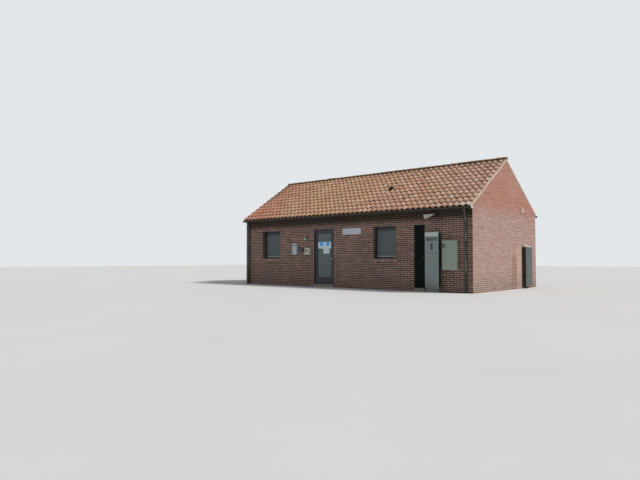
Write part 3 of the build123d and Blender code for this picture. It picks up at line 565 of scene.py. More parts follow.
def pantiles(name, side, slipped):
    """One slope's tiles: the tile's height on a grid, set out in columns and rows as closed thin shells.

    side is -1 for the platform slope and 1 for the rear. slipped lists column, row, sideways shift,
    downward shift, turn and lift of the tiles that have moved. The tint holds two drawn numbers, the way
    across the tile and the way up it."""
    column, row = (grid.ravel() for grid in np.meshgrid(np.arange(columns), np.arange(rows), indexing="ij"))
    count, stations = len(column), len(tile_stations)
    shift = rng.normal(0.0, shift_play, count)
    slide = rng.normal(0.0, slide_play, count) + row_wander * np.sin(column * wander_turn) * (row % 2)
    turn = rng.normal(0.0, turn_play, count)
    lift = rng.random(count) * lift_play
    for at_column, at_row, sideways, down, angle, raised in slipped:
        moved = (column == at_column) & (row == at_row)
        shift[moved], slide[moved], turn[moved], lift[moved] = sideways, -down, angle, raised
    across, along = np.meshgrid(tile_stations, (0.0, 0.5, 1.0), indexing="ij")
    across = across * np.where(column == columns - 1, last_cut / tile_stations[-1], 1.0)[:, None, None]
    top = tile_height(across, along) + lift[:, None, None] + tile_bed
    u = across * cover
    w = along * (gauge + tile_lap) - eaves_reach
    turn = turn[:, None, None]
    u, w = u - turn * w, w + turn * (u - cover / 2)
    u = u + (column * cover + shift)[:, None, None]
    w = w + (row * gauge + slide)[:, None, None]
    w = np.clip(w, -eaves_reach - slope_play, slope_length - slope_play)
    over = np.stack([top, top - tile_wall], axis=1)
    u, w = (np.repeat(values[:, None], 2, axis=1) for values in (u, w))
    y, z = on_slope(w, over)
    upper, lower = np.arange(6 * stations).reshape(2, stations, 3)
    rims = [np.concatenate([layer[:, 0], layer[-1, 1:], layer[-2::-1, -1], layer[0, -2::-1]])
            for layer in (upper, lower)]
    skins = np.concatenate([net(upper.T), net(lower.T)[:, ::-1]])
    faces = np.concatenate([skins, net(np.stack(rims, axis=1))])
    points = np.stack([u - half_length - left_reach, -side * y, z], axis=-1)
    piece = shape(name, points, faces, np.arange(len(faces)) < len(skins), count, side > 0)
    drawn = np.repeat(rng.random((count, 2)), 6 * stations, axis=0)
    way_across = np.repeat(across[:, None], 2, axis=1).reshape(-1, 1)
    # The underside's points count as at the top of the way up, so that they take the full painted shade of
    # the laps.
    way_up = np.tile(np.stack([along, np.ones_like(along)]).ravel(), count)[:, None]
    colour_points(piece, "tile_tint", np.concatenate([drawn, way_across, way_up], axis=1))
    return piece


# Their clay is bleached by the sun. Every tile has its own shade, redder at the left end of the roof and
# greyer at the right. Lichen grows in patches and mortar is smeared at the right end of the eaves. A painted
# shadow darkens each tile just under the foot of the tile above, and the undersides of all of them.
sunned = Finish("pantile_clay", specular=0.25)
tint, way_up = sunned.tint("tile_tint")
across_roof, height = sunned.axis("X"), sunned.axis("Z")
sunned.coat(sunned.ramp(tint[0], [(168, 126, 102), (186, 144, 118), (196, 156, 130), (202, 166, 142),
                                  (212, 182, 160)]))
along = across_roof + sunned.noise(0.7, 3.0, 0.6) * 2.4 - 1.2
sunned.stain((1.0 - along.step(-4.6, -2.6)) * 0.55, (196, 124, 96))
sunned.stain(along.between(-3.8, -2.0, -0.6, 2.0) * 0.4, (198, 156, 108))
sunned.stain(along.step(2.2, 4.6) * 0.35, (186, 162, 148))
sunned.stain(0.05, (62, 50, 40))
sunned.stain(tint[1] * 0.4275, (192, 148, 134))
sunned.stain(sunned.noise(0.55, 4.0, 0.6).step(0.42, 0.68) * 0.45, (176, 142, 112))
streak = sunned.noise(1.6, 5.0, 0.65, stretch=(3.2, 0.7, 0.7)).step(0.52, 0.78)
sunned.stain(streak * 0.5, (126, 92, 72))
lichen = sunned.noise(11.0, 5.0, 0.7).step(0.57, 0.66)
sunned.stain(lichen * 0.3925, (206, 192, 158))
sunned.stain(sunned.noise(70.0, 4.0, 0.75).step(0.45, 0.8) * 0.3, (132, 88, 66))
left_verge = 1.0 - (across_roof + sunned.noise(2.5) * 0.3).step(-4.90, -4.55)
sunned.stain(left_verge * height.step(3.2, 4.0) * 0.65, (118, 106, 88))
smeared = across_roof.step(4.55, 4.95) * (1.0 - height.step(2.74, 2.82))
sunned.stain(smeared * 0.75, (222, 212, 198))
# Painted shadow of the next tile's foot: a thin dark band at the lap, wider on the roll's falling flank.
falling = tint[2].between(0.06, 0.18, 0.52, 0.66)
lap_shadow = way_up.step(0.76, 0.81) * 0.85 + way_up.step(0.66, 0.76) * falling * 0.6
sunned.stain(lap_shadow, (48, 36, 28))
mossy = (1.0 - height.step(2.72, 2.76)) * across_roof.between(-1.4, -1.2, -0.3, 0.0)
sunned.stain(mossy * 0.3, (150, 138, 74))
sunned.stain((1.0 - way_up.step(0.0, 0.07)) * 0.3, (150, 112, 90))
sunned.to("Roughness", 0.8 + lichen * 0.15)
sunned.bump(sunned.noise(55.0, 5.0, 0.7) + lichen * 0.6, 0.6, 0.002)

slipped_tiles = [(30, 6, -0.020, 0.0, 0.0, 0.0), (31, 5, 0.0, 0.060, 0.0, 0.0),
                 (31, 6, 0.160, 0.0, -0.45, 0.0), (31, 7, 0.0, 0.030, 0.0, 0.004),
                 (36, 3, 0.012, 0.030, -0.12, 0.012)]
rear_slipped_tiles = [(12, 7, -0.010, 0.030, 0.06, 0.008)]
for name, side, slipped, node in (("platform_pantiles", -1, slipped_tiles, "front_tiles"),
                                  ("rear_pantiles", 1, rear_slipped_tiles, "rear_tiles")):
    fit(pantiles(name, side, slipped), sunned, "building", node)

# Roof boards: rough sawn boards side by side, nailed to the rafters under the battens, dark with age and
# painted darker still as the shade under the tiles. They show only from inside and where a tile has moved.
boards = Finish("roof_boards", roughness=0.9, specular=0.2)
seam = boards.node("ShaderNodeTexWave", {"wave_type": "BANDS", "bands_direction": "Y"},
                   {"Vector": boards.place, "Scale": 1.6, "Distortion": 0.0})["Fac"]
grain = boards.noise(9.0, 5.0, 0.7, stretch=(0.15, 1.0, 1.0))
boards.coat(boards.mix(grain, (40, 30, 22), (62, 48, 34)))
boards.stain((seam < 0.04) * 0.9, (14, 11, 9))
boards.bump(grain, 0.4, 0.002)
dress(boards, "front_roof_deck", "rear_roof_deck")

# Ridge tiles: half-round clay caps with a raised collar that laps over the next cap, bedded in mortar by
# hand, so none lies quite like its neighbour. Lichen has grown over most of them.
cap_count = 30
ridge_end = half_length + 0.015
cap_pitch = 2 * ridge_end / cap_count
cap_tail = cap_pitch + 0.026
cap_radius = 0.105
cap_rise = 0.070
cap_shift_play = 0.003
cap_lift_play = 0.0022
cap_turn_play = 0.018
ridge_level = tile_top(0.0) + cap_rise - cap_radius


def ridge_cap_rows():
    """Caps as half turns of a stepped profile: out along the collar and the body, back along the inside.

    A station's radius steps down after the collar and tapers to the cap's tail. The angle goes from one
    foot over the top to the other."""
    stations = np.array([(0.0, 0.1045), (0.038, 0.1045), (0.041, 0.0985), (cap_tail, 0.0955),
                         (cap_tail, 0.0845), (0.0, 0.0905)])
    angles = np.linspace(0.0, math.pi, 13)
    reach, radius = stations[:, :1], stations[:, 1:]
    one = np.stack(np.broadcast_arrays(reach, radius * np.cos(angles), radius * np.sin(angles)), axis=-1)
    shift = np.stack([-ridge_end + np.arange(cap_count) * cap_pitch,
                      rng.normal(0.0, cap_shift_play, cap_count),
                      ridge_level + rng.normal(0.0, cap_lift_play, cap_count)], axis=-1)
    points = one + shift[:, None, None]
    points[..., 1] += one[..., 0] * rng.normal(0.0, cap_turn_play, (cap_count, 1, 1))
    points[..., 0] = np.minimum(points[..., 0], ridge_end)
    place = np.arange(len(stations) * len(angles)).reshape(len(stations), len(angles))
    foot = np.array([[0, 5, 4, 3], [0, 3, 2, 1]])
    faces = np.concatenate([net(place.T, loop=True), place[foot, 0], place[::-1][foot, -1]])[:, ::-1]
    piece = shape("ridge_caps", points, faces, copies=cap_count)
    tint_each(piece, "tile_tint", cap_count)
    return piece


old_clay = Finish("ridge_clay", roughness=0.9, specular=0.2)
tint, _ = old_clay.tint("tile_tint")
old_clay.coat(old_clay.ramp(tint[0], [(138, 112, 84), (160, 134, 106), (172, 136, 102), (196, 168, 138)],
                            (0.0, 0.4, 0.7, 1.0)))
old_clay.stain(old_clay.noise(9.0, 5.0, 0.7).step(0.5, 0.64) * 0.6, (190, 182, 154))
# Painted shadow: each cap's lower part is darkened, which leaves its top as a pale lit line.
foot_shadow = 1.0 - old_clay.axis("Z").step(ridge_level + 0.042, ridge_level + 0.074)
old_clay.stain(foot_shadow * 0.85, (44, 30, 20))
old_clay.bump(old_clay.noise(55.0, 5.0, 0.7), 0.6, 0.002)
fit(ridge_cap_rows(), old_clay, "building", "ridge_tiles")

# Roof mortar: pale, coarse and cracked, wiped smooth by trowel at the verges and under the ridge caps. At
# the verges it is pressed in against the end tiles.
trowelled = mottled("roof_mortar", (176, 158, 142), (208, 190, 172), 6.0, 5.0, 0.65, roughness=0.95,
                    specular=0.1)
crack = trowelled.noise(3.0, 6.0, 0.7, stretch=(4.0, 4.0, 1.0)).step(0.60, 0.64)
trowelled.stain(crack * 0.5, (96, 84, 72))
trowelled.bump(trowelled.noise(45.0, 5.0, 0.7), 0.6, 0.003)
dress(trowelled, "verge_mortar", "ridge_bedding")

fillet_root = 0.060
fillet_start = 0.018
fillet_top = 0.010
fillet_trough = -0.003
fillet_gap = 0.004
trowel_play = 0.0012
fillet_section = np.array([(-0.042, 0.0, 0.0), (-0.034, 1.0, -0.007), (-0.014, 1.0, 0.0),
                           (0.002, 1.0, -0.004), (0.0085, 1.0, -0.014), (0.0085, 0.0, 0.0)])


def verge_fillet(name, end):
    """Mortar pressed in along both slopes of one gable: a rounded section carried from the eaves to the top.

    A point of the section lies so far out from the gable, at its share of the way from the root to the crest,
    and so much over that. The crest follows the end tiles: over the trough on the right, and up under the
    rolls, foot by foot, on the left. The trowel leaves it a millimetre or two uneven."""
    way = np.linspace(-fillet_start, slope_length + fillet_top, 97)
    along = ((way + eaves_reach) % gauge) / (gauge + tile_lap)
    under_rolls = roll_height + tile_bed - tile_wall + foot_lift * (1.0 - along) - fillet_gap
    crest = (np.full_like(way, fillet_trough) if end > 0 else under_rolls)[:, None]
    out, share, rise = fillet_section.T
    rings = []
    for side in (-1, 1):
        uneven = rng.normal(0.0, trowel_play, (len(way), 1))
        over = share * (crest + fillet_root) - fillet_root + rise + uneven * share
        y, z = on_slope(way[:, None], over)
        x = np.broadcast_to(end * (half_length + out), over.shape)
        rings.append(np.stack([x, -side * np.minimum(y, 0.0), z], axis=-1))
    place = np.arange(over.size).reshape(over.shape)
    lids = np.array([[0, 1, 2, 5], [2, 3, 4, 5]])
    one = np.concatenate([net(np.concatenate([place, place[:, :1]], axis=1).T), lids,
                          place[-1, 0] + lids[:, ::-1]])
    if end < 0:
        one = one[:, ::-1]
    return shape(name, np.array(rings), np.concatenate([one[:, ::-1], one + place.size]))


for name, end in (("left_verge_fillets", -1), ("right_verge_fillets", 1)):
    fit(verge_fillet(name, end), trowelled, "building")

# Eaves boards, gutters, hooks and downpipes: planed boards painted dark brown, and half-round zinc gutters
# that have turned dark, rust-brown in runs. The pipes are plugged together in lengths.
fascia_paint = Finish("fascia_paint")
flake = fascia_paint.noise(5.0, 6.0, 0.7, stretch=(0.3, 1.0, 1.0)).step(0.55, 0.62)
fascia_paint.coat(fascia_paint.mix(flake * 0.5, (42, 32, 22), (70, 56, 42)))
fascia_paint.bump(flake, 0.3, 0.001)
dress(fascia_paint, "fascia_boards")

zinc = mottled("weathered_zinc", (38, 34, 26), (64, 58, 46), 2.5, 5.0, 0.6, gloss=(0.42, 0.25))
rust = zinc.noise(1.3, 6.0, 0.7, stretch=(0.8, 2.0, 4.0)).step(0.5, 0.68)
leftward = 1.0 - zinc.axis("X").step(-4.5, 3.5)
zinc.stain(rust * (0.3 + leftward * 0.4), (76, 50, 30))
from_moss = zinc.axis("X") + 1.1
zinc.stain((1.0 - (from_moss * from_moss).step(0.01, 0.05)) * 0.45, (96, 90, 40))
# The right-hand stop ends are near white: a paler end cap, brightened further as a painted highlight of the
# sun.
stop_end_highlight = zinc.axis("X").step(half_length + 0.046, half_length + 0.049)
zinc.stain(stop_end_highlight, (222, 218, 210))
zinc.bump(zinc.noise(30.0), 0.15, 0.001)
dress(zinc, "front_gutter", "rear_gutter", "gutter_hooks")

pipe_zinc = mottled("pipe_zinc", (56, 59, 56), (76, 79, 75), 8.0, 4.0, 0.6, stretch=(1.0, 1.0, 0.25),
                    gloss=(0.38, 0.25))
dress(pipe_zinc, "pipe_clips")

pipe_x = half_length - 0.210
pipe_line = half_width + 0.060
gutter_line = half_width + 0.1268
gutter_rim = 2.6567
pipe_radius = 0.038
pipe_wall = 0.0025
pipe_sides = 20
socket_rise = 0.003
socket_ends = (2.24, 2.19, 1.62, 1.57, 0.70, 0.65)
swing_foot = 0.285
swing_height = 0.165


def downpipes(name, side):
    """Two pipes: a circle carried down a path that swings from the gutter's line back to the wall's.

    The swing is a smooth step between the two bends. The radius grows over each socket."""
    outlet, swing = np.linspace(0.050, 0.110, 3), np.linspace(0.120, 0.295, 14)
    z = np.concatenate([gutter_rim - outlet, gutter_rim - swing, np.repeat(socket_ends, 2), [0.0]])
    sockets = np.tile([0, 1, 1, 0], len(socket_ends) // 2)
    wider = np.concatenate([0 * outlet, 0 * swing, sockets, [0]]) * socket_rise
    way = np.clip((z - gutter_rim + swing_foot) / swing_height, 0.0, 1.0)
    y = pipe_line + (gutter_line - pipe_line) * way * way * (3 - 2 * way)
    fall = np.gradient(z)
    lean = np.gradient(y) / np.where(np.abs(fall) > 1e-4, fall, -1.0)
    across = 1.0 / np.sqrt(1.0 + lean ** 2)
    angles = np.arange(pipe_sides) * 2 * math.pi / pipe_sides
    shells = []
    for wall in (0.0, pipe_wall):
        radius = (pipe_radius + wider - wall)[:, None]
        ring_y = y[:, None] + radius * np.sin(angles) * across[:, None]
        ring_z = z[:, None] - radius * np.sin(angles) * (lean * across)[:, None]
        ring_z[0], ring_z[-1] = z[0], z[-1]
        shells.append(np.stack([radius * np.cos(angles), side * ring_y, ring_z], axis=-1))
    one = np.concatenate([shells[0], shells[1][::-1]])
    place = np.arange(len(one) * pipe_sides).reshape(-1, pipe_sides)
    faces = net(np.concatenate([place, place[:1]]), loop=True)
    return shape(name, np.stack([one + (x, 0.0, 0.0) for x in (-pipe_x, pipe_x)]), faces, True, 2, side > 0)


for name, side, node in (("platform_pipes", -1, "front_downpipes"), ("rear_pipes", 1, "rear_downpipes")):
    fit(downpipes(name, side), pipe_zinc, "building", node)

# Windows: dark painted frames closed by blank grey panels, with a pale metal bead along the foot, over sills
# of bricks laid on edge that slope out past the wall. Small screws hold the panels.
facings = {"platform": ((1, 0, 0), (0, -1, 0)), "rear": ((-1, 0, 0), (0, 1, 0)),
           "gable": ((0, 1, 0), (1, 0, 0))}


def rectangle(width, height, corner):
    """Outline of a rectangle with round corners: each corner is a quarter turn about its own centre."""
    quarter = np.arange(4)[:, None] * math.pi / 2 + np.linspace(0.0, math.pi / 2, 4)
    centre = np.array([(1, 1), (-1, 1), (-1, -1), (1, -1)]) * (width / 2 - corner, height / 2 - corner)
    u = centre[:, 0:1] + corner * np.cos(quarter)
    v = centre[:, 1:2] + corner * np.sin(quarter)
    return np.stack([u.ravel(), v.ravel()], axis=-1)


def disc(radius, sides):
    """Outline of a circle."""
    turn = np.arange(sides) * 2 * math.pi / sides
    return np.stack([radius * np.cos(turn), radius * np.sin(turn)], axis=-1)


def skin(name, outlines, lifts, at, facing="platform", smooth=False):
    """Closed skins through stacks of outlines, one stack at every place in at.

    Each outline lies flat at its lift off the surface that the piece is fixed to. Neighbours are joined
    point by point, and the first and the last are closed by strips across."""
    along, outward = np.array(facings[facing], float)
    rings = np.array(outlines)
    count, sides = rings.shape[:2]
    one = rings[..., :1] * along + rings[..., 1:] * (0.0, 0.0, 1.0) + np.array(lifts)[:, None, None] * outward
    points = one.reshape(1, -1, 3) + np.array(at).reshape(-1, 1, 3)
    place = np.arange(count * sides).reshape(count, sides)
    step = np.arange(sides // 2 - 1)
    strips = np.stack([step, step + 1, sides - 2 - step, sides - 1 - step], axis=-1)
    faces = np.concatenate([net(place, loop=True), place[-1][strips], place[0][strips[:, ::-1]]])
    return shape(name, points, faces, smooth, len(points))


def plate(name, size, corner, edge, at, facing="platform"):
    """Plate with round corners and a bevelled front edge, by its width, height and depth off its back."""
    width, height, depth = size
    full = rectangle(width, height, corner)
    drawn_in = rectangle(width - 2 * edge, height - 2 * edge, max(corner - edge, 0.0005))
    return skin(name, [full, full, drawn_in], [0.0, depth - edge, depth], at, facing)


def boss(name, radii, lifts, sides, at, facing="platform", smooth=False):
    """Round boss or screw head: straight to its first lift, then drawn in to its second radius and lift."""
    foot, top = (disc(radius, sides) for radius in radii)
    return skin(name, [foot, foot, top], [0.0, *lifts], at, facing, smooth)


frame_paint = mottled("dark_frame_paint", (30, 31, 34), (44, 45, 48), 14.0, 4.0, 0.6, gloss=(0.35, 0.25))
frame_paint.bump(frame_paint.noise(90.0, stretch=(1.0, 1.0, 0.1)), 0.15, 0.0006)
dress(frame_paint, "front_window_frames", "rear_window_frames", "entrance_frame", "entrance_leaf",
      "service_door_frame")

blank = mottled("blank_panel_paint", (78, 90, 92), (91, 102, 104), 1.8, 4.0, 0.6, gloss=(0.5, 0.2))
run = blank.noise(14.0, 4.0, 0.6, stretch=(3.0, 3.0, 0.15)).step(0.55, 0.75)
blank.stain(run * 0.3, (74, 82, 82))
# Painted shadow under the lintel darkens the top of each panel.
lintel_shadow = blank.axis("Z").step(head - 0.190, head - 0.110)
blank.stain(lintel_shadow * 0.75, (22, 25, 26))
dress(blank, "front_window_panels", "rear_window_panels")

bead_metal = mottled("bead_metal", (168, 172, 170), (196, 198, 196), 20.0, roughness=0.4, metallic=0.3)
panel_inset = window_depth + 0.020
frame_bars = 0.122
bead_height, bead_depth, bead_rise = 0.022, 0.016, 0.074
screw_inset, screw_foot = 0.085, 0.115
window_middles = [((left + right) / 2 - half_length, right - left)
                  for left, right in (left_window, right_window)]
for index, (middle, width) in enumerate(window_middles):
    for facing, side in (("platform", -1), ("rear", 1)):
        panel_face = side * (half_width - panel_inset)
        bead = plate("window_bead_%s_%d" % (facing, index), (width - frame_bars, bead_height, bead_depth),
                     0.003, 0.002, [(middle, panel_face, sill + bead_rise)], facing)
        fit(bead, bead_metal, "building")
        heights = (sill + screw_foot, (sill + head) / 2, head - screw_inset)
        at = [(middle + a * (width / 2 - screw_inset), panel_face, z) for a in (-1, 0, 1) for z in heights
              if a or z != heights[1]]
        screws = boss("window_screws_%s_%d" % (facing, index), (0.006, 0.003), (0.002, 0.004), 10, at,
                      facing, True)
        fit(screws, bead_metal, "building")

sill_brick = 0.0667
sill_play = 0.0010
sill_section = np.array([(-0.145, 0.000), (-0.145, 0.003), (0.026, -0.0155), (0.029, -0.020),
                         (0.029, -0.107), (0.002, -0.1095)])


def sill_bricks(name, middle, width, side):
    """Bricks on edge, side by side: the sill's section between each brick's left and right end.

    The section's places are out from the wall's face and up from the sill's height."""
    number = round(width / sill_brick)
    pitch = width / number
    left = middle - width / 2 + np.arange(number) * pitch + joint / 2
    uneven = rng.normal(0.0, sill_play, number)
    points = np.empty((number, 2, len(sill_section), 3))
    points[..., 0] = np.stack([left, left + pitch - joint], axis=1)[..., None]
    points[..., 1] = side * (half_width + sill_section[:, 0])
    points[..., 2] = sill + sill_section[:, 1] + uneven[:, None, None]
    lids = np.array([[3, 2, 1, 0], [5, 4, 3, 0], [6, 7, 8, 9], [6, 9, 10, 11]])
    faces = np.concatenate([net(np.arange(12).reshape(2, 6), loop=True), lids])
    piece = shape(name, points, faces, copies=number, mirrored=side > 0)
    tint_each(piece, "brick_tint", number)
    return piece


grey_brick = Finish("sill_brick", roughness=0.9, specular=0.2)
tint, _ = grey_brick.tint("brick_tint")
grey_brick.coat(grey_brick.ramp(tint[0], [(112, 98, 92), (142, 124, 114), (166, 148, 134)]))
grey_brick.stain(grey_brick.noise(12.0, 5.0, 0.7).step(0.5, 0.62) * 0.5, (104, 104, 92))
grey_brick.bump(grey_brick.noise(120.0, 4.0, 0.7), 0.5, 0.0015)
for index, (middle, width) in enumerate(window_middles):
    for side, wall in ((-1, "front"), (1, "rear")):
        bricks = sill_bricks("sill_bricks_%d_%s" % (index, wall), middle, width, side)
        fit(bricks, grey_brick, "building")
dress(mortar, "window_sills")


# Entrance: a glazed metal door in a dark frame, hinged on its left. A white band and two plain blue discs are
# stuck across the glass at eye height, with a sheet of paper taped under them.
class Front:
    """Platform side of a node's box: its edges, and the x, y and z of its middle."""

    def __init__(self, node):
        low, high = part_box(node)
        self.left, self.right, self.foot, self.top = low.x, high.x, low.z, high.z
        self.x, self.y, self.z = (low.x + high.x) / 2, low.y, (low.z + high.z) / 2


glass = mottled("door_glass", (73, 87, 90), (94, 108, 110), 2.6, 3.0, 0.5, stretch=(1.0, 1.0, 0.6))
glass.to("Roughness", 0.10 + glass.noise(9.0, 4.0, 0.6) * 0.08)
dress(glass, "entrance_pane")
steel = mottled("brushed_steel", (150, 152, 154), (184, 186, 188), 60.0, 3.0, 0.5, stretch=(0.1, 1.0, 1.0),
                gloss=(0.26, 0.16), metallic=0.85)
dress(steel, "entrance_handles")
dress(frame_paint, "entrance_hinge_pins", "entrance_hinge_knuckles", "loudspeaker_bracket")
white_film = mottled("white_film", (202, 220, 238), (218, 232, 244), 5.0, roughness=0.4)
blue_film = mottled("blue_film", (72, 168, 240), (86, 180, 248), 8.0, roughness=0.35)
paper = mottled("paper", (204, 220, 228), (220, 232, 236), 7.0, roughness=0.8, specular=0.2)
rubber = mottled("black_rubber", (16, 17, 18), (26, 27, 28), 40.0)

pane = Front("entrance_pane")
pane_width, pane_height = pane.right - pane.left, pane.top - pane.foot
gasket, gasket_depth = 0.009, 0.003
gasket_sides = [(x, pane.y, pane.z) for x in (pane.left + gasket / 2, pane.right - gasket / 2)]
gasket_levels = [(pane.x, pane.y, z) for z in (pane.foot + gasket / 2, pane.top - gasket / 2)]
band_height, band_depth = 1.563, 0.0004
disc_radius, disc_depth = 0.088, 0.0009
disc_places = [(pane.x + a * 0.155, pane.y, 1.612) for a in (-1, 1)]
for piece, finish in (
        (plate("pane_gasket_uprights", (gasket, pane_height, gasket_depth), 0.001, 0.0005, gasket_sides),
         rubber),
        (plate("pane_gasket_levels", (pane_width - 2 * gasket, gasket, gasket_depth), 0.001, 0.0005,
               gasket_levels), rubber),
        (plate("glass_band", (pane_width - 0.020, 0.244, band_depth), 0.002, 0.0001,
               [(pane.x, pane.y, band_height)]), white_film),
        (skin("glass_discs", [disc(disc_radius, 32)] * 2, [band_depth, disc_depth], disc_places), blue_film),
        (plate("taped_sheet", (0.297, 0.190, 0.0006), 0.002, 0.0002, [(pane.x + 0.085, pane.y, 1.344)]),
         paper)):
    fit(piece, finish, "entrance_door")

# Service door: a narrow steel door stiffened by upright ribs, painted black and gone slightly blue-green, in
# a dark frame. Its lock is a round boss at its free edge.
black_paint = mottled("black_door_paint", (5, 12, 14), (10, 20, 22), 6.0, 4.0, 0.6, gloss=(0.65, 0.2),
                      specular=0.15)
dress(black_paint, "service_door_leaf")
leaf = Front("service_door_leaf")
lock = boss("service_door_lock", (0.026, 0.020), (0.004, 0.007), 20, [(leaf.right - 0.020, leaf.y, 1.10)])
fit(lock, frame_paint, "service_door")

# Doorsteps and floor: cast concrete, cloudy and finely pitted. A step lies across each doorway, level with
# the floor, and stands a little proud of the wall.
concrete = mottled("cast_concrete", (132, 128, 118), (164, 160, 150), 1.4, 5.0, 0.6, roughness=0.9,
                   specular=0.2)
concrete.stain(concrete.noise(60.0, 4.0, 0.7).step(0.58, 0.7) * 0.4, (92, 88, 80))
concrete.bump(concrete.noise(45.0, 5.0, 0.7), 0.4, 0.002)
dress(concrete, "floor_slab", "thresholds")

# Name board: a bare sheet of white enamelled steel with drip marks, screwed to the wall near its four
# corners by round-headed screws.
enamel = mottled("white_enamel", (182, 190, 200), (202, 208, 216), 2.0, 5.0, 0.6, stretch=(1.0, 1.0, 0.4),
                 roughness=0.3)
drip = enamel.noise(11.0, 4.0, 0.6, stretch=(3.0, 3.0, 0.2)).step(0.55, 0.75)
enamel.stain(drip * 0.3, (158, 164, 166))
dress(enamel, "sign_board")
board = Front("sign_board")
screw_places = [(board.x + a * 0.385, board.y, board.z + b * 0.085) for a in (-1, 1) for b in (-1, 1)]
board_screws = boss("board_screws", (0.008, 0.004), (0.002, 0.004), 12, screw_places, smooth=True)
fit(board_screws, steel, "building")

# Ticket machine: a folded steel housing painted pale grey, with a bright head, a screen, a coin slot and a
# delivery tray. Dark strips in its seams and a dark sheet over its right side are painted shade, and dirt
# darkens its foot.
machine_paint = mottled("machine_paint", (118, 132, 132), (136, 148, 146), 5.0, 5.0, 0.65, gloss=(0.35, 0.2))
machine_foot = 1.0 - over_height(machine_paint, machine_paint.cloud, 0.2, 0.25, 0.55)
machine_paint.stain(machine_foot * 0.4, (96, 98, 92))
dress(machine_paint, "ticket_machine")
dark_glass = mottled("dark_glass", (40, 48, 54), (58, 66, 72), 3.0, roughness=0.15)
screen_glass = mottled("screen_glass", (84, 92, 92), (104, 112, 110), 9.0, roughness=0.25)
pale_metal = mottled("pale_metal", (164, 172, 170), (186, 192, 190), 25.0, roughness=0.35, metallic=0.4)
head_paint = mottled("machine_head_paint", (118, 126, 126), (134, 142, 140), 6.0, roughness=0.4)
machine = Front("ticket_machine")
pocket_back = machine.y + 0.030
upper_seam = machine.top - 0.281
lower_seam = upper_seam - 0.383
slot_height = (upper_seam + lower_seam) / 2
tray_height = lower_seam - 0.24
seam_shade_places = [(machine.x, machine.y + 0.008, seam - 0.004) for seam in (upper_seam, lower_seam)]
lock_places = [(machine.right - 0.045, machine.y, z) for z in (lower_seam - 0.10, 0.40)]
for piece, finish in (
        (plate("machine_head_panel", (0.470, 0.130, 0.003), 0.006, 0.001,
               [(machine.x, machine.y, machine.top - 0.085)]), pale_metal),
        (plate("machine_screen", (0.386, 0.086, 0.004), 0.004, 0.001,
               [(machine.x, pocket_back, upper_seam + 0.053)]), screen_glass),
        (plate("machine_slot_back", (0.076, 0.206, 0.004), 0.003, 0.001,
               [(machine.x, pocket_back, slot_height)]), dark_glass),
        (plate("machine_seam_shade", (0.480, 0.007, 0.004), 0.001, 0.0005, seam_shade_places), rubber),
        (plate("machine_side_shade", (0.136, 1.70, 0.0015), 0.004, 0.0005,
               [(machine.right, machine.y + 0.070, 1.02)], "gable"), rubber),
        (plate("machine_tray_flap", (0.300, 0.120, 0.006), 0.010, 0.002,
               [(machine.x, machine.y, tray_height)]), head_paint),
        (plate("machine_tray_lip", (0.320, 0.014, 0.014), 0.003, 0.002,
               [(machine.x, machine.y, tray_height - 0.070)]), pale_metal),
        (boss("machine_lock", (0.014, 0.010), (0.005, 0.008), 20, lock_places), steel)):
    fit(piece, finish, "building")

# Notice case: a shallow steel case with a pale green door, a cloudy plastic light and an upright dark pull
# near the door's free edge. Four bare sheets of paper are pinned behind the light, two by two.
case_paint = mottled("case_paint", (138, 152, 138), (158, 170, 152), 4.0, 5.0, 0.6, gloss=(0.35, 0.2))
dress(case_paint, "notice_case", "notice_case_door")
cloudy = mottled("cloudy_plastic", (142, 158, 142), (164, 176, 158), 2.4, 4.0, 0.6, roughness=0.35)
cloudy.to("Alpha", 0.80 + cloudy.cloud * 0.1)
dress(cloudy, "notice_case_pane")
dark_plastic = mottled("dark_plastic", (28, 30, 32), (44, 46, 48), 30.0, roughness=0.5)
dress(dark_plastic, "notice_case_pull")
case = Front("notice_case")
sheet_back = -half_width - 0.0183
sheet_places = [(case.x + a * 0.112, sheet_back, case.foot + b) for a in (-1, 1) for b in (0.24, 0.62)]
notices = plate("pinned_sheets", (0.200, 0.285, 0.001), 0.002, 0.0004, sheet_places)
fit(notices, paper, "building")

# Letter box, small display and call point: moulded boxes screwed to the wall beside the entrance. The tall
# one has a posting slot under a flap, the display a dark window, the call point a grille and a round button.
box_white = mottled("box_white", (176, 182, 190), (194, 200, 208), 5.0, 5.0, 0.6, stretch=(1.5, 1.5, 0.5),
                    roughness=0.5)
dress(box_white, "post_box")
display_blue = mottled("display_plastic", (60, 66, 78), (72, 78, 90), 20.0, roughness=0.4)
dress(display_blue, "display_box")
call_beige = mottled("call_plastic", (178, 184, 168), (194, 200, 182), 6.0, 4.0, roughness=0.5)
dress(call_beige, "call_box")
post, show, call = Front("post_box"), Front("display_box"), Front("call_box")
label_x = call.x - 0.035
grille_slots, grille_pitch = 8, 0.012
grille_places = [(label_x, call.y, call.z + 0.060 - k * grille_pitch) for k in range(grille_slots)]
for piece, finish, slot in (
        (plate("post_slot", (0.150, 0.016, 0.001), 0.003, 0.0004, [(post.x, post.y, post.top - 0.085)]),
         rubber, "white_plastic"),
        (plate("post_flap", (0.170, 0.034, 0.005), 0.004, 0.002, [(post.x, post.y, post.top - 0.050)]),
         box_white, "white_plastic"),
        (boss("post_lock", (0.010, 0.007), (0.003, 0.005), 16, [(post.x, post.y, post.foot + 0.12)]),
         steel, "white_plastic"),
        (plate("display_window", (0.160, 0.095, 0.002), 0.004, 0.001, [(show.x, show.y, show.z + 0.010)]),
         dark_glass, "dark_plastic"),
        (plate("call_grille", (0.110, 0.004, 0.001), 0.0015, 0.0003, grille_places), rubber, "beige_plastic"),
        (boss("call_button", (0.022, 0.018), (0.006, 0.009), 24, [(call.x + 0.070, call.y, call.z - 0.010)]),
         steel, "beige_plastic"),
        (plate("call_label", (0.080, 0.040, 0.0008), 0.002, 0.0003, [(label_x, call.y, call.z - 0.085)]),
         paper, "beige_plastic")):
    fit(piece, finish, "building")

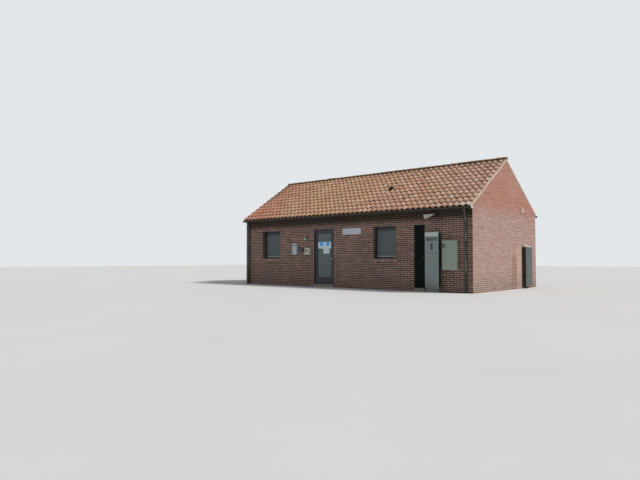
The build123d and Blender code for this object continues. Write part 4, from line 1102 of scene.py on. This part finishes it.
# Bulkhead lamp: a cast base painted dark green, screwed to the brick, and a tapering milky cover that is
# paler and faintly green along its lower part.
lamp_paint = mottled("lamp_paint", (44, 54, 40), (62, 72, 54), 12.0, roughness=0.5)
dress(lamp_paint, "lamp_base")
milky = Finish("milky_cover", roughness=0.25)
lit = milky.axis("Z").between(1.764, 1.784, 1.800, 1.875)
milky.coat(milky.mix(lit, (110, 118, 98), (178, 190, 160)))
dress(milky, "lamp_cover")

# Loudspeaker: a four-sided horn of pale moulded plastic on a steel arm under the eaves, tipped down. The
# driver housing behind its throat is dark.
horn_paint = mottled("horn_plastic", (158, 160, 146), (184, 184, 168), 9.0, 4.0, 0.6, roughness=0.55)
horn_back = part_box("loudspeaker")[1].x
horn_paint.stain(horn_paint.axis("X").step(horn_back - 0.100, horn_back - 0.080), (52, 46, 38))
dress(horn_paint, "loudspeaker")

# Meter cabinet: a tall sheet-metal box against the gable under a sloping cap, its door painted grey-green and
# lit by the sun, its sides painted near black as the shade on them.
cabinet_paint = mottled("cabinet_paint", (64, 72, 72), (82, 90, 90), 3.5, 5.0, 0.65, roughness=0.5)
dress(cabinet_paint, "meter_cabinet_door")
cabinet_side_shade = mottled("cabinet_shaded_sides", (24, 21, 17), (38, 33, 27), 4.0, 5.0, 0.65, roughness=0.6)
dress(cabinet_side_shade, "meter_cabinet")
cap_paint = mottled("cabinet_cap_paint", (160, 148, 140), (182, 170, 160), 4.0, 5.0, 0.65, roughness=0.5)
dress(cap_paint, "meter_cabinet_roof")
door_low, door_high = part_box("meter_cabinet_door")
door_middle = (door_low.y + door_high.y) / 2
louvre_count, louvre_pitch = 6, 0.024
louvre_places = [(door_low.x + 0.018, door_middle, door_high.z - 0.14 - k * louvre_pitch)
                 for k in range(louvre_count)]
louvres = plate("cabinet_louvres", (0.220, 0.008, 0.004), 0.003, 0.002, louvre_places, "gable")
fit(louvres, cabinet_paint, "meter_door")

# Gable light: a small upright lantern moulded in white plastic, screwed to the brick high on the gable,
# under the verge.
lantern_white = mottled("lantern_white", (226, 224, 218), (240, 238, 232), 8.0, roughness=0.4)
dress(lantern_white, "gable_light")
